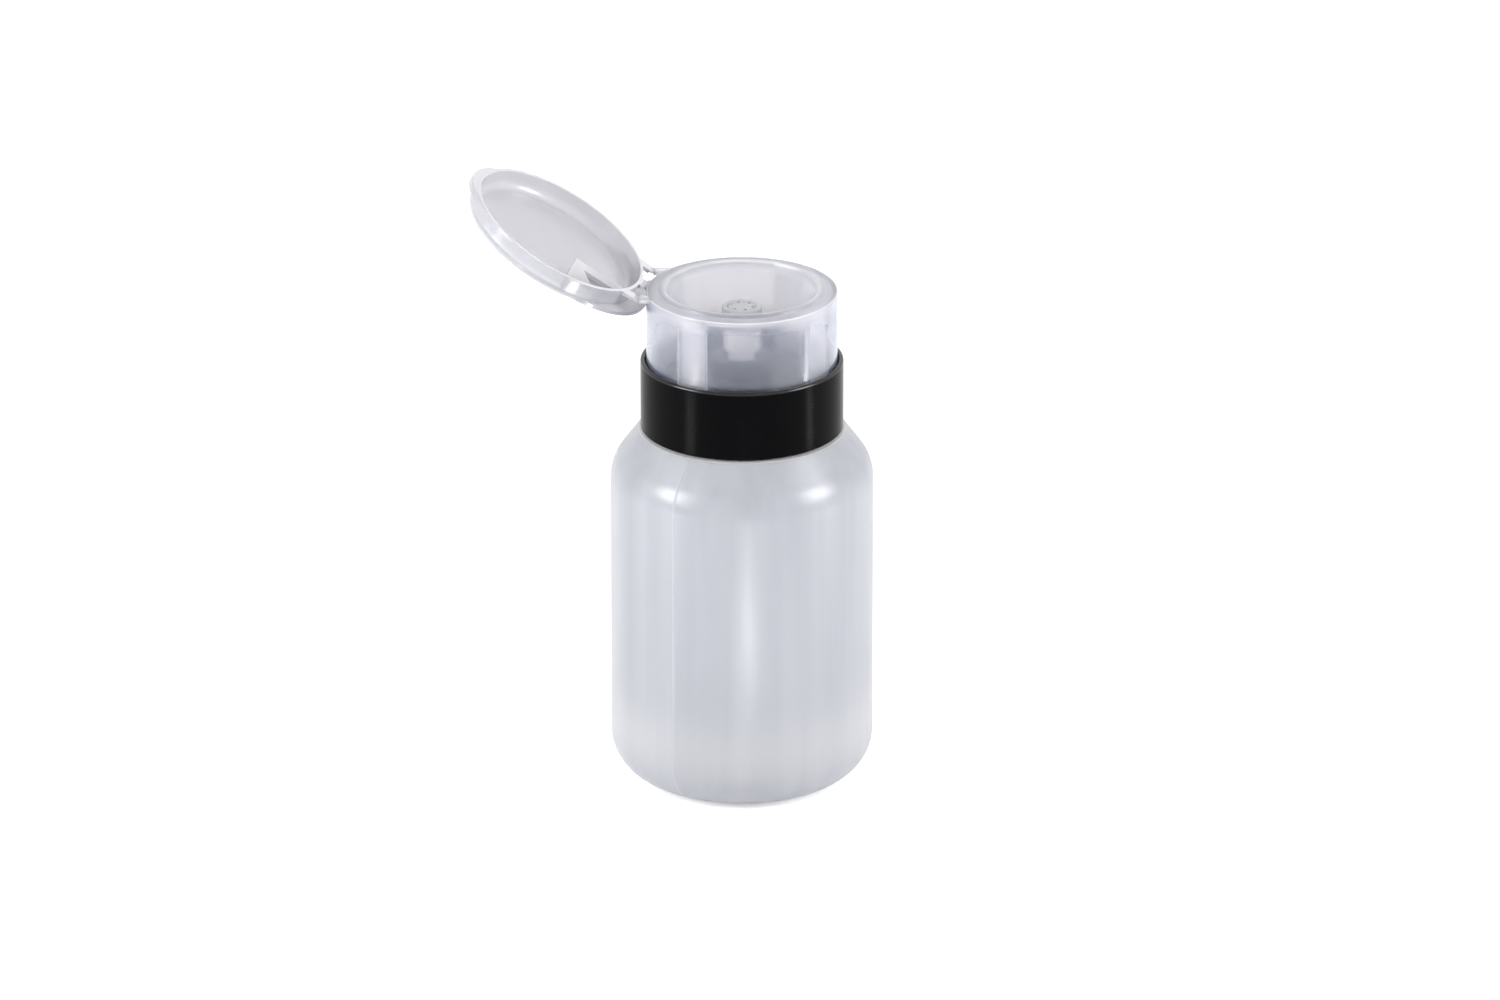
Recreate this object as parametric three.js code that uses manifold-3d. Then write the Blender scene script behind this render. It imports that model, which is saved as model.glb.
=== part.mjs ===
// Push-down pump dispenser bottle with a screw collar and a flip lid.
// Millimetres, +Z up. The origin is the middle of the base on the standing plane.
// The lid's hinge is at -X, parallel to Y.

import * as THREE from 'three';
import { mergeVertices } from 'three/addons/utils/BufferGeometryUtils.js';
import Module from 'manifold-3d';

const wasm = await Module();
wasm.setup();

// Bottle: outside radius, straight side, corner, shoulder and neck
const bodyR = 32.5;
const bottleWall = 1.2;
const baseCornerR = 11.2;
const footRingWidth = 2.0;
const pushUpDepth = 0.8;
const pushUpSlopeWidth = 2.4;
const sideTopZ = 77.8;
const shoulderArcR = 11.9;
const shoulderSlope = 0.745;
const shoulderEdge = 0.21;
const shoulderStand = 0.47;
const neckR = 17.45;
const neckWall = 1.55;
const neckFootR = 1.0;
const neckHeight = 8.95;
const neckEdge = 0.4;

// Thread: its radii are shared by the collar, and its lead drives the way the collar rises
const threadStand = 1.15;
const threadFit = 0.3;

// Collar: outer ring, inner cap with its deck, and the guide tower round the stem
const collarWall = 1.18;
const collarBottomGap = 0.4;
const collarHeight = 17.45;
const collarEdge = 0.75;
const webThickness = 1.5;
const webRise = 0.25;
const capWall = 1.5;
const capEdge = 0.6;
const deckThickness = 1.4;
const towerR = 7.4;
const towerHeight = 5.8;
const towerFootR = 0.8;
const towerEdge = 0.3;

// Pump: gasket, flange, cylinder and valves
const gasketThickness = 1.5;
const gasketFit = 0.5;
const flangeThickness = 1.2;
const flangeFit = 1.7;
const cylinderBore = 5.25;
const cylinderWall = 1.15;
const cylinderDepth = 28.0;
const valveChamberDepth = 4.4;
const valveFloor = 1.5;
const valveBore = 1.2;
const inletBallR = 1.9;
const outletBallR = 1.8;
const ballRoom = 0.6;
const cageThickness = 1.0;
const cageBore = 1.5;
const cageSlotWidth = 0.9;
const cageSlots = 3;
const tubeR = 2.5;
const tubeBore = 1.7;
const tubeInsert = 6.1;
const tubeSocketWall = 1.3;
const tubeEndHeight = 2.2;
const tubeCutAngle = 40;
const stemR = 3.3;
const stemBore = 1.3;
const bushingLength = 6.0;
const pistonLength = 7.1;
const pistonLip = 0.6;
const pistonWaist = 0.3;
const springSidePlay = 0.95;
const springWireR = 0.4;
const springTurns = 7.5;
const springSteps = 8;
const springSides = 5;

// Actuator: skirt, top face, lip, bowl and outlet
const skirtWall = 1.2;
const skirtEdge = 0.5;
const topFaceThickness = 1.2;
const lipHeight = 0.8;
const lipWidth = 1.5;
const lipEdge = 0.3;
const topFaceWidth = 3.15;
const bowlDepth = 8.85;
const bowlWall = 1.1;
const bossR = 4.9;
const bossHeight = 3.85;
const bossEdge = 0.35;
const outletBore = 3.6;
const headSeatR = 5.6;
const headR = 4.55;
const headLength = 6.2;
const headSocketDepth = 3.3;
const headChamfer = 1.0;
const headSeatStep = 0.35;
const headStand = 2.55;
const outletCapThickness = 0.9;
const outletCapHeight = 1.7;
const outletCapWall = 0.4;
const outletHoleR = 0.45;
const outletHoleCircle = 2.7;
const outletHoles = 6;
const outletFirstHole = 59;
const outletPegR = 0.7;
const outletPegLength = 1.0;
const padWidth = 7.6;
const padDepth = 1.55;
const padGap = 0.4;
const padFirstAngle = -112.4;
const padCount = 4;
const stroke = 6.0;

// Lid: cup, corner, thumb tab, corner pocket and eave
const lidHeight = 5.8;
const lidWall = 1.4;
const lidPlate = 1.2;
const lidCrown = 0.4;
const lidCornerR = 2.2;
const lidFilletR = 2.5;
const lidClosedGap = 0.3;
const tabReach = 1.9;
const tabHalfWidth = 10.6;
const tabThickness = 1.9;
const eaveHalfWidth = 19.0;
const eaveThickness = 1.1;
const lidDraft = 0.5;
const pocketChordY = 7.8;
const pocketEndX = 6.9;
const pocketWall = 1.1;
const pocketWeb = 1.0;
const windowChordY = 11.6;
const windowNearX = 9.9;
const windowFarX = 13.6;

// Hinge: its axis, how far the lid is turned back, and the straps
const hingeStand = 0.79;
const hingeOpen = 148.8;
const strapMidWidth = 4.7;
const strapSideWidth = 3.0;
const strapOpening = 6.1;
const earThickness = 1.0;
const earSetback = 0.45;
const filmThickness = 0.3;

// Clearances, and the overrun that every cut shares
const slideGap = 0.3;
const runningGap = 0.15;
const seatGap = 0.1;
const touchGap = 0.05;
const overrun = 1.0;

// How many facets go round the large and the small pieces
const aroundLarge = 44;
const aroundSmall = 24;
const aroundBall = 14;
const arcSteps = 5;
const edgeSteps = 2;
const bowlSteps = 7;

// Radii that follow from the neck: thread, inner cap, actuator round it, collar round that
const threadOuterR = neckR + threadStand;
const capBoreR = threadOuterR + threadFit;
const capR = capBoreR + capWall;
const skirtInnerR = capR + padGap + padDepth;
const skirtR = skirtInnerR + skirtWall;
const collarInnerR = skirtR + slideGap;
const collarR = collarInnerR + collarWall;
const shoulderRimR = collarR + shoulderStand;
const bowlR = skirtR - topFaceWidth - lipWidth;
const hingeR = skirtR + hingeStand;
const springMeanR = cylinderBore - springSidePlay - springWireR;
const radians = THREE.MathUtils.degToRad;

// The shoulder's arc ends where it meets the cone, and the cone ends at the rim round the collar.
const shoulderAngle = Math.atan(shoulderSlope);
const coneFootR = bodyR - shoulderArcR * (1 - Math.cos(shoulderAngle));
const coneFootZ = sideTopZ + shoulderArcR * Math.sin(shoulderAngle);
const coneRimZ = coneFootZ + (coneFootR - shoulderRimR) / shoulderSlope;
const shoulderTopZ = coneRimZ + shoulderEdge;

// Levels from the shoulder up: the head clears the bushing at the end of the stroke,
// and the bowl, its lip and the skirt stand on the head.
const neckTopZ = shoulderTopZ + neckHeight;
const flangeBottomZ = neckTopZ + gasketThickness;
const flangeTopZ = flangeBottomZ + flangeThickness;
const deckBottomZ = flangeTopZ + seatGap;
const deckTopZ = deckBottomZ + deckThickness;
const collarBottomZ = shoulderTopZ + collarBottomGap;
const collarTopZ = collarBottomZ + collarHeight;
const webBottomZ = collarBottomZ + webRise;
const webTopZ = webBottomZ + webThickness;
const towerTopZ = deckTopZ + towerHeight;
const skirtBottomZ = webTopZ + stroke + slideGap + seatGap * 2;
const headBottomZ = flangeTopZ + stroke + headStand;
const headTopZ = headBottomZ + headLength;
const bowlPoleZ = headTopZ + seatGap + bowlWall;
const lipTopZ = bowlPoleZ + bowlDepth;
const skirtTopZ = lipTopZ - lipHeight;
const bowlSphereR = (bowlR ** 2 + bowlDepth ** 2) / (2 * bowlDepth);
const bowlCentreZ = bowlPoleZ + bowlSphereR;
const headFloorZ = headBottomZ + headSocketDepth;
const headSeatZ = headFloorZ + valveBore + headSeatStep;
const bossTopZ = bowlPoleZ + bossHeight;
const outletCapBottomZ = bossTopZ - outletCapHeight;
const spigotTopZ = outletCapBottomZ - seatGap;
const bushingTopZ = flangeTopZ;
const bushingBottomZ = bushingTopZ - bushingLength;
const pistonTopZ = bushingBottomZ - runningGap;
const pistonBottomZ = pistonTopZ - pistonLength;
const cageBottomZ = flangeTopZ - cylinderDepth;
const cageTopZ = cageBottomZ + cageThickness;
const inletSeatZ = cageBottomZ - valveChamberDepth;
const tubeStopZ = inletSeatZ - valveFloor;
const socketBottomZ = tubeStopZ - tubeInsert;
const tubeTopZ = tubeStopZ - seatGap;
const tubeBottomZ = pushUpDepth + bottleWall + tubeEndHeight;
const springBottomZ = cageTopZ + touchGap;
const springTopZ = pistonBottomZ - touchGap;
const stemBottomZ = pistonBottomZ + pistonLip;
const stemTopZ = headFloorZ - seatGap;
const hingeZ = skirtTopZ + lidClosedGap / 2;
const towerBore = headR + slideGap;
const strapSideY = strapMidWidth / 2 + strapOpening + strapSideWidth / 2;

// The eave is the stop of the open lid: its lower edge comes to rest against the skirt.
const eaveTopZ = lidHeight - lidPlate / 4;
const eaveLowZ = eaveTopZ - eaveThickness;
const eaveClimb = (lidClosedGap / 2 + eaveLowZ) * Math.sin(radians(hingeOpen));
const eavePastHinge = (hingeR - skirtR - slideGap + eaveClimb) / -Math.cos(radians(hingeOpen));
const eaveReach = hingeR - skirtR + eavePastHinge;

// Turns a closed three.js geometry into a solid whose faces point out.
function solidOf(geometry) {
  const bare = geometry.index ? geometry.toNonIndexed() : geometry.clone();
  for (const name of Object.keys(bare.attributes)) {
    if (name !== 'position') {
      bare.deleteAttribute(name);
    }
  }
  const merged = mergeVertices(bare);
  const points = merged.attributes.position;
  const index = merged.index.array;
  const triangles = [];
  let volume = 0;
  const a = new THREE.Vector3();
  const b = new THREE.Vector3();
  const c = new THREE.Vector3();
  for (let i = 0; i < index.length; i += 3) {
    const [p, q, r] = [index[i], index[i + 1], index[i + 2]];
    if (p === q || q === r || r === p) {
      continue;
    }
    triangles.push(p, q, r);
    a.fromBufferAttribute(points, p);
    b.fromBufferAttribute(points, q);
    c.fromBufferAttribute(points, r);
    volume += a.dot(b.cross(c));
  }
  if (volume < 0) {
    triangles.reverse();
  }
  const triVerts = new Uint32Array(triangles);
  const vertProperties = new Float32Array(points.array);
  return new wasm.Manifold(new wasm.Mesh({ numProp: 3, vertProperties, triVerts }));
}

// Turns a solid back into a geometry.
function geometryOf(solid) {
  const mesh = solid.getMesh();
  const geometry = new THREE.BufferGeometry();
  geometry.setAttribute('position', new THREE.BufferAttribute(mesh.vertProperties, mesh.numProp));
  geometry.setIndex(new THREE.BufferAttribute(mesh.triVerts, 1));
  geometry.computeVertexNormals();
  return geometry;
}

// Revolves an outline of [radius, height] points round Z.
function turned(outline, around) {
  const points = outline.map(([r, z]) => new THREE.Vector2(r, z));
  const geometry = new THREE.LatheGeometry(points, around);
  geometry.rotateX(Math.PI / 2);
  return solidOf(geometry);
}

// Revolves an outline that closes on itself, for rings and tubes.
function turnedRing(outline, around) {
  return turned([...outline, outline[0]], around);
}

// Points on a circle in the plane of an outline, from one angle to another in degrees.
function arc(centreR, centreZ, radius, from, to, steps = arcSteps) {
  const points = [];
  for (let i = 0; i <= steps; i += 1) {
    const angle = radians(from + ((to - from) * i) / steps);
    points.push([centreR + radius * Math.cos(angle), centreZ + radius * Math.sin(angle)]);
  }
  return points;
}

// Extrudes a flat shape from one height to another.
function prism(shape, bottomZ, topZ) {
  const settings = { depth: topZ - bottomZ, bevelEnabled: false, curveSegments: aroundLarge };
  const geometry = new THREE.ExtrudeGeometry(shape, settings);
  geometry.translate(0, 0, bottomZ);
  return solidOf(geometry);
}

// A shape from a list of [x, y] corners.
function polygon(corners) {
  return new THREE.Shape(corners.map(([x, y]) => new THREE.Vector2(x, y)));
}

// A box given by its lowest and highest corner.
function block(low, high) {
  const size = high.map((value, i) => value - low[i]);
  const geometry = new THREE.BoxGeometry(...size);
  geometry.translate(...low.map((value, i) => value + size[i] / 2));
  return solidOf(geometry);
}

// An upright cylinder.
function rod(radius, bottomZ, topZ, around = aroundLarge) {
  const geometry = new THREE.CylinderGeometry(radius, radius, topZ - bottomZ, around);
  geometry.rotateX(Math.PI / 2);
  geometry.translate(0, 0, (bottomZ + topZ) / 2);
  return solidOf(geometry);
}

// Turns a solid round Z by an angle in degrees.
function spun(solid, angle) {
  return solid.rotate([0, 0, angle]);
}

// A thin blow-moulded shell: corner, straight side, shoulder and neck, with a shallow push-up in the base.
function bottle() {
  const slopeAngle = THREE.MathUtils.radToDeg(shoulderAngle);
  const cornerX = bodyR - baseCornerR;
  const shoulderX = bodyR - shoulderArcR;
  const side = (inset) => [
    ...arc(cornerX, baseCornerR, baseCornerR - inset, -90, 0),
    ...arc(shoulderX, sideTopZ, shoulderArcR - inset, 0, slopeAngle),
  ];
  const panelR = cornerX - footRingWidth - pushUpSlopeWidth;
  const neckInnerR = neckR - neckWall;
  const outside = [
    [0, pushUpDepth],
    [panelR, pushUpDepth],
    [cornerX - footRingWidth, 0],
    ...side(0),
    [shoulderRimR, coneRimZ],
    [shoulderRimR - bottleWall, shoulderTopZ],
    ...arc(neckR + neckFootR, shoulderTopZ + neckFootR, neckFootR, -90, -180, edgeSteps),
    [neckR, neckTopZ - neckEdge],
    [neckR - neckEdge, neckTopZ],
    [neckInnerR, neckTopZ],
  ];
  const inside = [
    [neckInnerR, shoulderTopZ - bottleWall + neckFootR],
    [neckInnerR + neckFootR, shoulderTopZ - bottleWall],
    [shoulderRimR - bottleWall * 2, shoulderTopZ - bottleWall],
    ...side(bottleWall).reverse(),
    [cornerX - footRingWidth, bottleWall],
    [panelR, pushUpDepth + bottleWall],
    [0, pushUpDepth + bottleWall],
  ];
  return turned([...outside, ...inside], aroundLarge);
}

// The black collar in one piece: ring, web, threaded inner cap, deck and guide tower.
function screwCollar() {
  const outline = [
    [collarInnerR, collarBottomZ],
    [collarR, collarBottomZ],
    ...arc(collarR - collarEdge, collarTopZ - collarEdge, collarEdge, 0, 90, edgeSteps),
    [collarInnerR, collarTopZ],
    [collarInnerR, webTopZ],
    [capR, webTopZ],
    ...arc(capR - capEdge, deckTopZ - capEdge, capEdge, 0, 90, edgeSteps),
    ...arc(towerR + towerFootR, deckTopZ + towerFootR, towerFootR, -90, -180, edgeSteps),
    [towerR, towerTopZ - towerEdge],
    [towerR - towerEdge, towerTopZ],
    [towerBore, towerTopZ],
    [towerBore, deckBottomZ],
    [capBoreR, deckBottomZ],
    [capBoreR, webBottomZ],
    [collarInnerR, webBottomZ],
  ];
  return turnedRing(outline, aroundLarge);
}

// The soft washer round the cylinder, between the neck and the pump's flange.
function neckGasket() {
  const boreR = cylinderBore + cylinderWall + gasketFit;
  const outline = [
    [boreR, neckTopZ],
    [neckR, neckTopZ],
    [neckR, flangeBottomZ],
    [boreR, flangeBottomZ],
  ];
  return turnedRing(outline, aroundLarge);
}

// The pump's housing: flange, cylinder, inlet valve chamber with its cone, and the socket for the dip tube.
function pumpHousing() {
  const cylinderR = cylinderBore + cylinderWall;
  const chamberR = inletBallR + ballRoom;
  const chamberOuterR = chamberR + cylinderWall;
  const socketR = tubeR + tubeSocketWall;
  const outline = [
    [cylinderBore, flangeTopZ],
    [capBoreR - flangeFit, flangeTopZ],
    [capBoreR - flangeFit, flangeBottomZ],
    [cylinderR, flangeBottomZ],
    [cylinderR, cageBottomZ - cylinderWall],
    [chamberOuterR, cageBottomZ - cylinderWall * 2],
    [chamberOuterR, tubeStopZ],
    [socketR, tubeStopZ],
    [socketR, socketBottomZ],
    [tubeR + seatGap, socketBottomZ],
    [tubeR + seatGap, tubeStopZ],
    [valveBore, tubeStopZ],
    [valveBore, inletSeatZ],
    [chamberR, inletSeatZ + chamberR - valveBore],
    [chamberR, cageBottomZ],
    [cylinderBore, cageBottomZ],
  ];
  return turnedRing(outline, aroundSmall);
}

// Where a ball comes to rest on a 45 degree cone that starts at the valve's bore.
function seatedBallZ(coneFootZ, ballR) {
  return coneFootZ - valveBore + ballR * Math.SQRT2 + touchGap;
}

// A valve ball, made round its own middle.
function ball(radius) {
  return solidOf(new THREE.SphereGeometry(radius, aroundBall, aroundBall / 2));
}

// The slotted disc that keeps the inlet ball down and carries the spring.
function ballCage() {
  const outline = [
    [cageBore, cageBottomZ + touchGap],
    [cylinderBore - runningGap, cageBottomZ + touchGap],
    [cylinderBore - runningGap, cageTopZ],
    [cageBore, cageTopZ],
  ];
  let cage = turnedRing(outline, aroundSmall);
  const slot = block(
    [cageBore / 2, -cageSlotWidth / 2, cageBottomZ - overrun],
    [springMeanR - springWireR - seatGap, cageSlotWidth / 2, cageTopZ + overrun],
  );
  for (let i = 0; i < cageSlots; i += 1) {
    cage = cage.subtract(spun(slot, (360 * i) / cageSlots));
  }
  return cage;
}

// The dip tube, cut off slanted at its foot so that it can't seal itself against the base.
function dipTube() {
  const outline = [
    [tubeBore, tubeBottomZ],
    [tubeR, tubeBottomZ],
    [tubeR, tubeTopZ],
    [tubeBore, tubeTopZ],
  ];
  const rise = 2 * tubeR * Math.tan(radians(tubeCutAngle));
  const side = tubeR + overrun;
  const steps = rise / (2 * tubeR);
  const wedgeShape = polygon([
    [-side, tubeBottomZ - overrun],
    [side, tubeBottomZ - overrun],
    [side, tubeBottomZ + rise + overrun * steps],
    [-side, tubeBottomZ - overrun * steps],
  ]);
  const settings = { depth: side * 2, bevelEnabled: false };
  const wedge = new THREE.ExtrudeGeometry(wedgeShape, settings);
  wedge.translate(0, 0, -side);
  wedge.rotateX(Math.PI / 2);
  return turnedRing(outline, aroundSmall).subtract(solidOf(wedge));
}

// The bushing that closes the cylinder and guides the stem.
function retainerBushing() {
  const outline = [
    [stemR + runningGap, bushingBottomZ],
    [cylinderBore - seatGap, bushingBottomZ],
    [cylinderBore - seatGap, bushingTopZ],
    [stemR + runningGap, bushingTopZ],
  ];
  return turnedRing(outline, aroundSmall);
}

// The piston: a waisted ring with a lip at each end that wipes the cylinder.
function piston() {
  const lipR = cylinderBore - seatGap;
  const outline = [
    [stemR + touchGap, pistonBottomZ],
    [lipR - pistonLip, pistonBottomZ],
    [lipR, pistonBottomZ + pistonLip],
    [lipR - pistonWaist, pistonBottomZ + pistonLip * 2],
    [lipR - pistonWaist, pistonTopZ - pistonLip * 2],
    [lipR, pistonTopZ - pistonLip],
    [lipR - pistonLip, pistonTopZ],
    [stemR + touchGap, pistonTopZ],
  ];
  return turnedRing(outline, aroundSmall);
}

// The hollow stem between the piston and the head.
function pumpStem() {
  const outline = [
    [stemBore, stemBottomZ],
    [stemR, stemBottomZ],
    [stemR, stemTopZ],
    [stemBore, stemTopZ],
  ];
  return turnedRing(outline, aroundSmall);
}

// The return spring: one round wire wound in a helix, with the least gap between its turns printed.
function returnSpring() {
  const rings = Math.round(springTurns * springSteps) + 1;
  const startZ = springBottomZ + springWireR;
  const climb = springTopZ - springWireR - startZ;
  const positions = [];
  const centres = [];
  for (let i = 0; i < rings; i += 1) {
    const turn = (2 * Math.PI * i) / springSteps;
    const z = startZ + (climb * i) / (rings - 1);
    centres.push(new THREE.Vector3(springMeanR * Math.cos(turn), springMeanR * Math.sin(turn), z));
    for (let k = 0; k < springSides; k += 1) {
      const side = (2 * Math.PI * k) / springSides;
      const r = springMeanR + springWireR * Math.cos(side);
      positions.push(r * Math.cos(turn), r * Math.sin(turn), z + springWireR * Math.sin(side));
    }
  }
  const index = [];
  for (let i = 0; i < rings - 1; i += 1) {
    for (let k = 0; k < springSides; k += 1) {
      const next = (k + 1) % springSides;
      const here = i * springSides;
      const ahead = here + springSides;
      index.push(here + k, ahead + k, here + next);
      index.push(here + next, ahead + k, ahead + next);
    }
  }
  const last = (rings - 1) * springSides;
  for (let k = 1; k < springSides - 1; k += 1) {
    index.push(0, k, k + 1);
    index.push(last, last + k + 1, last + k);
  }
  let gap = Infinity;
  for (let i = 0; i < rings; i += 1) {
    for (let j = i + springSteps / 2; j < rings; j += 1) {
      gap = Math.min(gap, centres[i].distanceTo(centres[j]) - 2 * springWireR);
    }
  }
  console.log(`return_spring: least gap between turns ${gap.toFixed(2)} mm`);
  const geometry = new THREE.BufferGeometry();
  geometry.setAttribute('position', new THREE.Float32BufferAttribute(positions, 3));
  geometry.setIndex(index);
  return solidOf(geometry);
}

// The white head: a socket for the stem below, the outlet ball's chamber above,
// and a spigot into the bowl's boss.
function stemHead() {
  const chamberR = outletBallR + ballRoom;
  const outline = [
    [stemR + runningGap, headBottomZ],
    [headR - headChamfer + runningGap, headBottomZ],
    [headR, headBottomZ + headChamfer],
    [headR, headTopZ],
    [outletBore - runningGap, headTopZ],
    [outletBore - runningGap, spigotTopZ],
    [chamberR, spigotTopZ],
    [chamberR, headSeatZ - valveBore + chamberR],
    [valveBore, headSeatZ],
    [valveBore, headFloorZ],
    [stemR + runningGap, headFloorZ],
  ];
  return turnedRing(outline, aroundSmall);
}

// The outlet cap: a small cup with holes near its rim and a peg that stops the ball.
function outletCap() {
  const capOuterR = outletBore - seatGap;
  const plateZ = bossTopZ - outletCapThickness;
  const outline = [
    [0, plateZ - outletPegLength],
    [outletPegR, plateZ - outletPegLength],
    [outletPegR, plateZ],
    [capOuterR - outletCapWall, plateZ],
    [capOuterR - outletCapWall, outletCapBottomZ],
    [capOuterR, outletCapBottomZ],
    [capOuterR, bossTopZ],
    [0, bossTopZ],
  ];
  let cap = turned(outline, aroundSmall);
  const sides = aroundBall / 2;
  for (let i = 0; i < outletHoles; i += 1) {
    const hole = rod(outletHoleR, plateZ - overrun, bossTopZ + overrun, sides);
    const placed = hole.translate([outletHoleCircle, 0, 0]);
    cap = cap.subtract(spun(placed, outletFirstHole + (360 * i) / outletHoles));
  }
  return cap;
}

// How far down the bowl's sphere lies at a radius, for its upper face or one offset below it.
function bowlZ(r, offset) {
  return bowlCentreZ - Math.sqrt((bowlSphereR + offset) ** 2 - r ** 2);
}

// The clear actuator in one piece: skirt, top face with its lip, spherical bowl,
// outlet boss, guide pads and hinge ears.
function dishActuator() {
  const lipOuterR = bowlR + lipWidth;
  const undersideZ = skirtTopZ - topFaceThickness;
  const sphereBelow = bowlSphereR + bowlWall;
  const undersideR = Math.sqrt(sphereBelow ** 2 - (bowlCentreZ - undersideZ) ** 2);
  const upper = [];
  const lower = [];
  for (let i = 0; i <= bowlSteps; i += 1) {
    const r = bowlR - lipEdge + ((bossR - bowlR + lipEdge) * i) / bowlSteps;
    upper.push([r, bowlZ(r, 0)]);
  }
  for (let i = 0; i <= bowlSteps; i += 1) {
    const r = headSeatR + ((undersideR - headSeatR) * i) / bowlSteps;
    lower.push([r, bowlZ(r, bowlWall)]);
  }
  const outline = [
    [skirtInnerR, skirtBottomZ],
    [skirtR, skirtBottomZ],
    ...arc(skirtR - skirtEdge, skirtTopZ - skirtEdge, skirtEdge, 0, 90, edgeSteps),
    [lipOuterR, skirtTopZ],
    [lipOuterR, lipTopZ - lipEdge],
    [lipOuterR - lipEdge, lipTopZ],
    [bowlR, lipTopZ],
    ...upper,
    [bossR, bossTopZ - bossEdge],
    [bossR - bossEdge, bossTopZ],
    [outletBore, bossTopZ],
    [outletBore, headTopZ + seatGap],
    [headSeatR, headTopZ + seatGap],
    ...lower,
    [skirtInnerR, undersideZ],
  ];
  let dish = turnedRing(outline, aroundLarge);
  const padInnerR = skirtInnerR - padDepth;
  const embed = skirtWall / 2;
  const annulus = [
    [padInnerR, skirtBottomZ],
    [skirtInnerR + embed, skirtBottomZ],
    [skirtInnerR + embed, undersideZ + topFaceThickness / 2],
    [padInnerR, undersideZ + topFaceThickness / 2],
  ];
  const ring = turnedRing(annulus, aroundLarge);
  const window = block([0, -padWidth / 2, skirtBottomZ - overrun], [skirtR, padWidth / 2, skirtTopZ]);
  for (let i = 0; i < padCount; i += 1) {
    dish = dish.add(ring.intersect(spun(window, padFirstAngle + (360 * i) / padCount)));
  }
  const core = rod(skirtR - embed, skirtBottomZ, lipTopZ);
  for (const [low, high] of strapSpans()) {
    const ear = block([-hingeR + earSetback, low, skirtTopZ - earThickness], [-bowlR, high, skirtTopZ]);
    dish = dish.add(ear.subtract(core));
  }
  return dish;
}

// The three strap places along the hinge, each as [lowest y, highest y].
function strapSpans() {
  const half = strapSideWidth / 2;
  return [
    [-strapSideY - half, -strapSideY + half],
    [-strapMidWidth / 2, strapMidWidth / 2],
    [strapSideY - half, strapSideY + half],
  ];
}

// A crescent that stands out from a circle about the lid's middle: the part of a disc through three points.
function crescentDisc(reach, halfWidth) {
  const rimX = Math.sqrt(skirtR ** 2 - halfWidth ** 2);
  const tipX = skirtR + reach;
  const offset = (tipX ** 2 - rimX ** 2 - halfWidth ** 2) / (2 * (tipX - rimX));
  return { offset, radius: tipX - offset };
}

// The lid in its closed pose, about its own middle with its rim on Z = 0.
function flipLid() {
  const innerR = skirtR - lidWall;
  const floorZ = lidHeight - lidPlate;
  const outline = [
    [0, lidHeight + lidCrown],
    ...arc(skirtR - lidCornerR, lidHeight - lidCornerR, lidCornerR, 90, 0, arcSteps - 1),
    [skirtR, 0],
    [innerR + lidDraft, 0],
    ...arc(innerR - lidFilletR, floorZ - lidFilletR, lidFilletR, 0, 90, arcSteps - 1),
    [0, floorZ + lidCrown],
  ];
  let lid = turned(outline, aroundLarge);
  const tab = crescentDisc(tabReach, tabHalfWidth);
  const eave = crescentDisc(eaveReach, eaveHalfWidth);
  const hollow = rod(skirtR - lidWall / 2, -overrun, lidHeight * 2);
  const tabDisc = rod(tab.radius, 0, tabThickness).translate([tab.offset, 0, 0]);
  lid = lid.add(tabDisc.subtract(hollow));
  const eaveCore = rod(skirtR - lidCornerR, -overrun, lidHeight * 2);
  const eaveDisc = rod(eave.radius, eaveLowZ, eaveTopZ).translate([-eave.offset, 0, 0]);
  lid = lid.add(eaveDisc.subtract(eaveCore));
  lid = lid.add(cornerPocket(innerR, floorZ));
  for (const [low, high] of strapSpans()) {
    const ear = block([-hingeR + earSetback, low, 0], [-bowlR, high, earThickness]);
    lid = lid.add(ear.subtract(hollow));
  }
  return lid;
}

// The closed corner inside the lid beside the hinge: chord wall, end wall and a web with its window.
// It stops short of the rim's plane, so that it clears the bowl's lip when the lid is shut.
function cornerPocket(innerR, floorZ) {
  const outerR = innerR + lidWall / 2;
  const rimZ = lipHeight - lidClosedGap + slideGap;
  const segment = (chordY, endX, radius) => {
    const shape = new THREE.Shape();
    const farX = Math.sqrt(radius ** 2 - chordY ** 2);
    const startAngle = Math.atan2(-chordY, -farX);
    const endAngle = Math.atan2(-Math.sqrt(radius ** 2 - endX ** 2), -endX);
    shape.moveTo(-endX, -chordY);
    shape.lineTo(-farX, -chordY);
    shape.absarc(0, 0, radius, startAngle, endAngle, false);
    shape.closePath();
    return shape;
  };
  const whole = prism(segment(pocketChordY, pocketEndX, outerR), rimZ, floorZ + lidPlate / 2);
  const roomChordY = pocketChordY + pocketWall;
  const roomEndX = pocketEndX + pocketWall;
  const room = prism(segment(roomChordY, roomEndX, innerR), rimZ + pocketWeb, floorZ);
  const windowTipX = Math.sqrt(innerR ** 2 - windowChordY ** 2);
  const windowFarY = Math.sqrt(innerR ** 2 - windowFarX ** 2);
  const startAngle = Math.atan2(-windowChordY, -windowTipX);
  const cutter = new THREE.Shape();
  cutter.moveTo(-windowNearX, -windowChordY);
  cutter.lineTo(-windowTipX, -windowChordY);
  cutter.absarc(0, 0, innerR, startAngle, Math.atan2(-windowFarY, -windowFarX), false);
  cutter.closePath();
  return whole.subtract(room).subtract(prism(cutter, -overrun, rimZ + pocketWeb + overrun));
}

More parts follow.
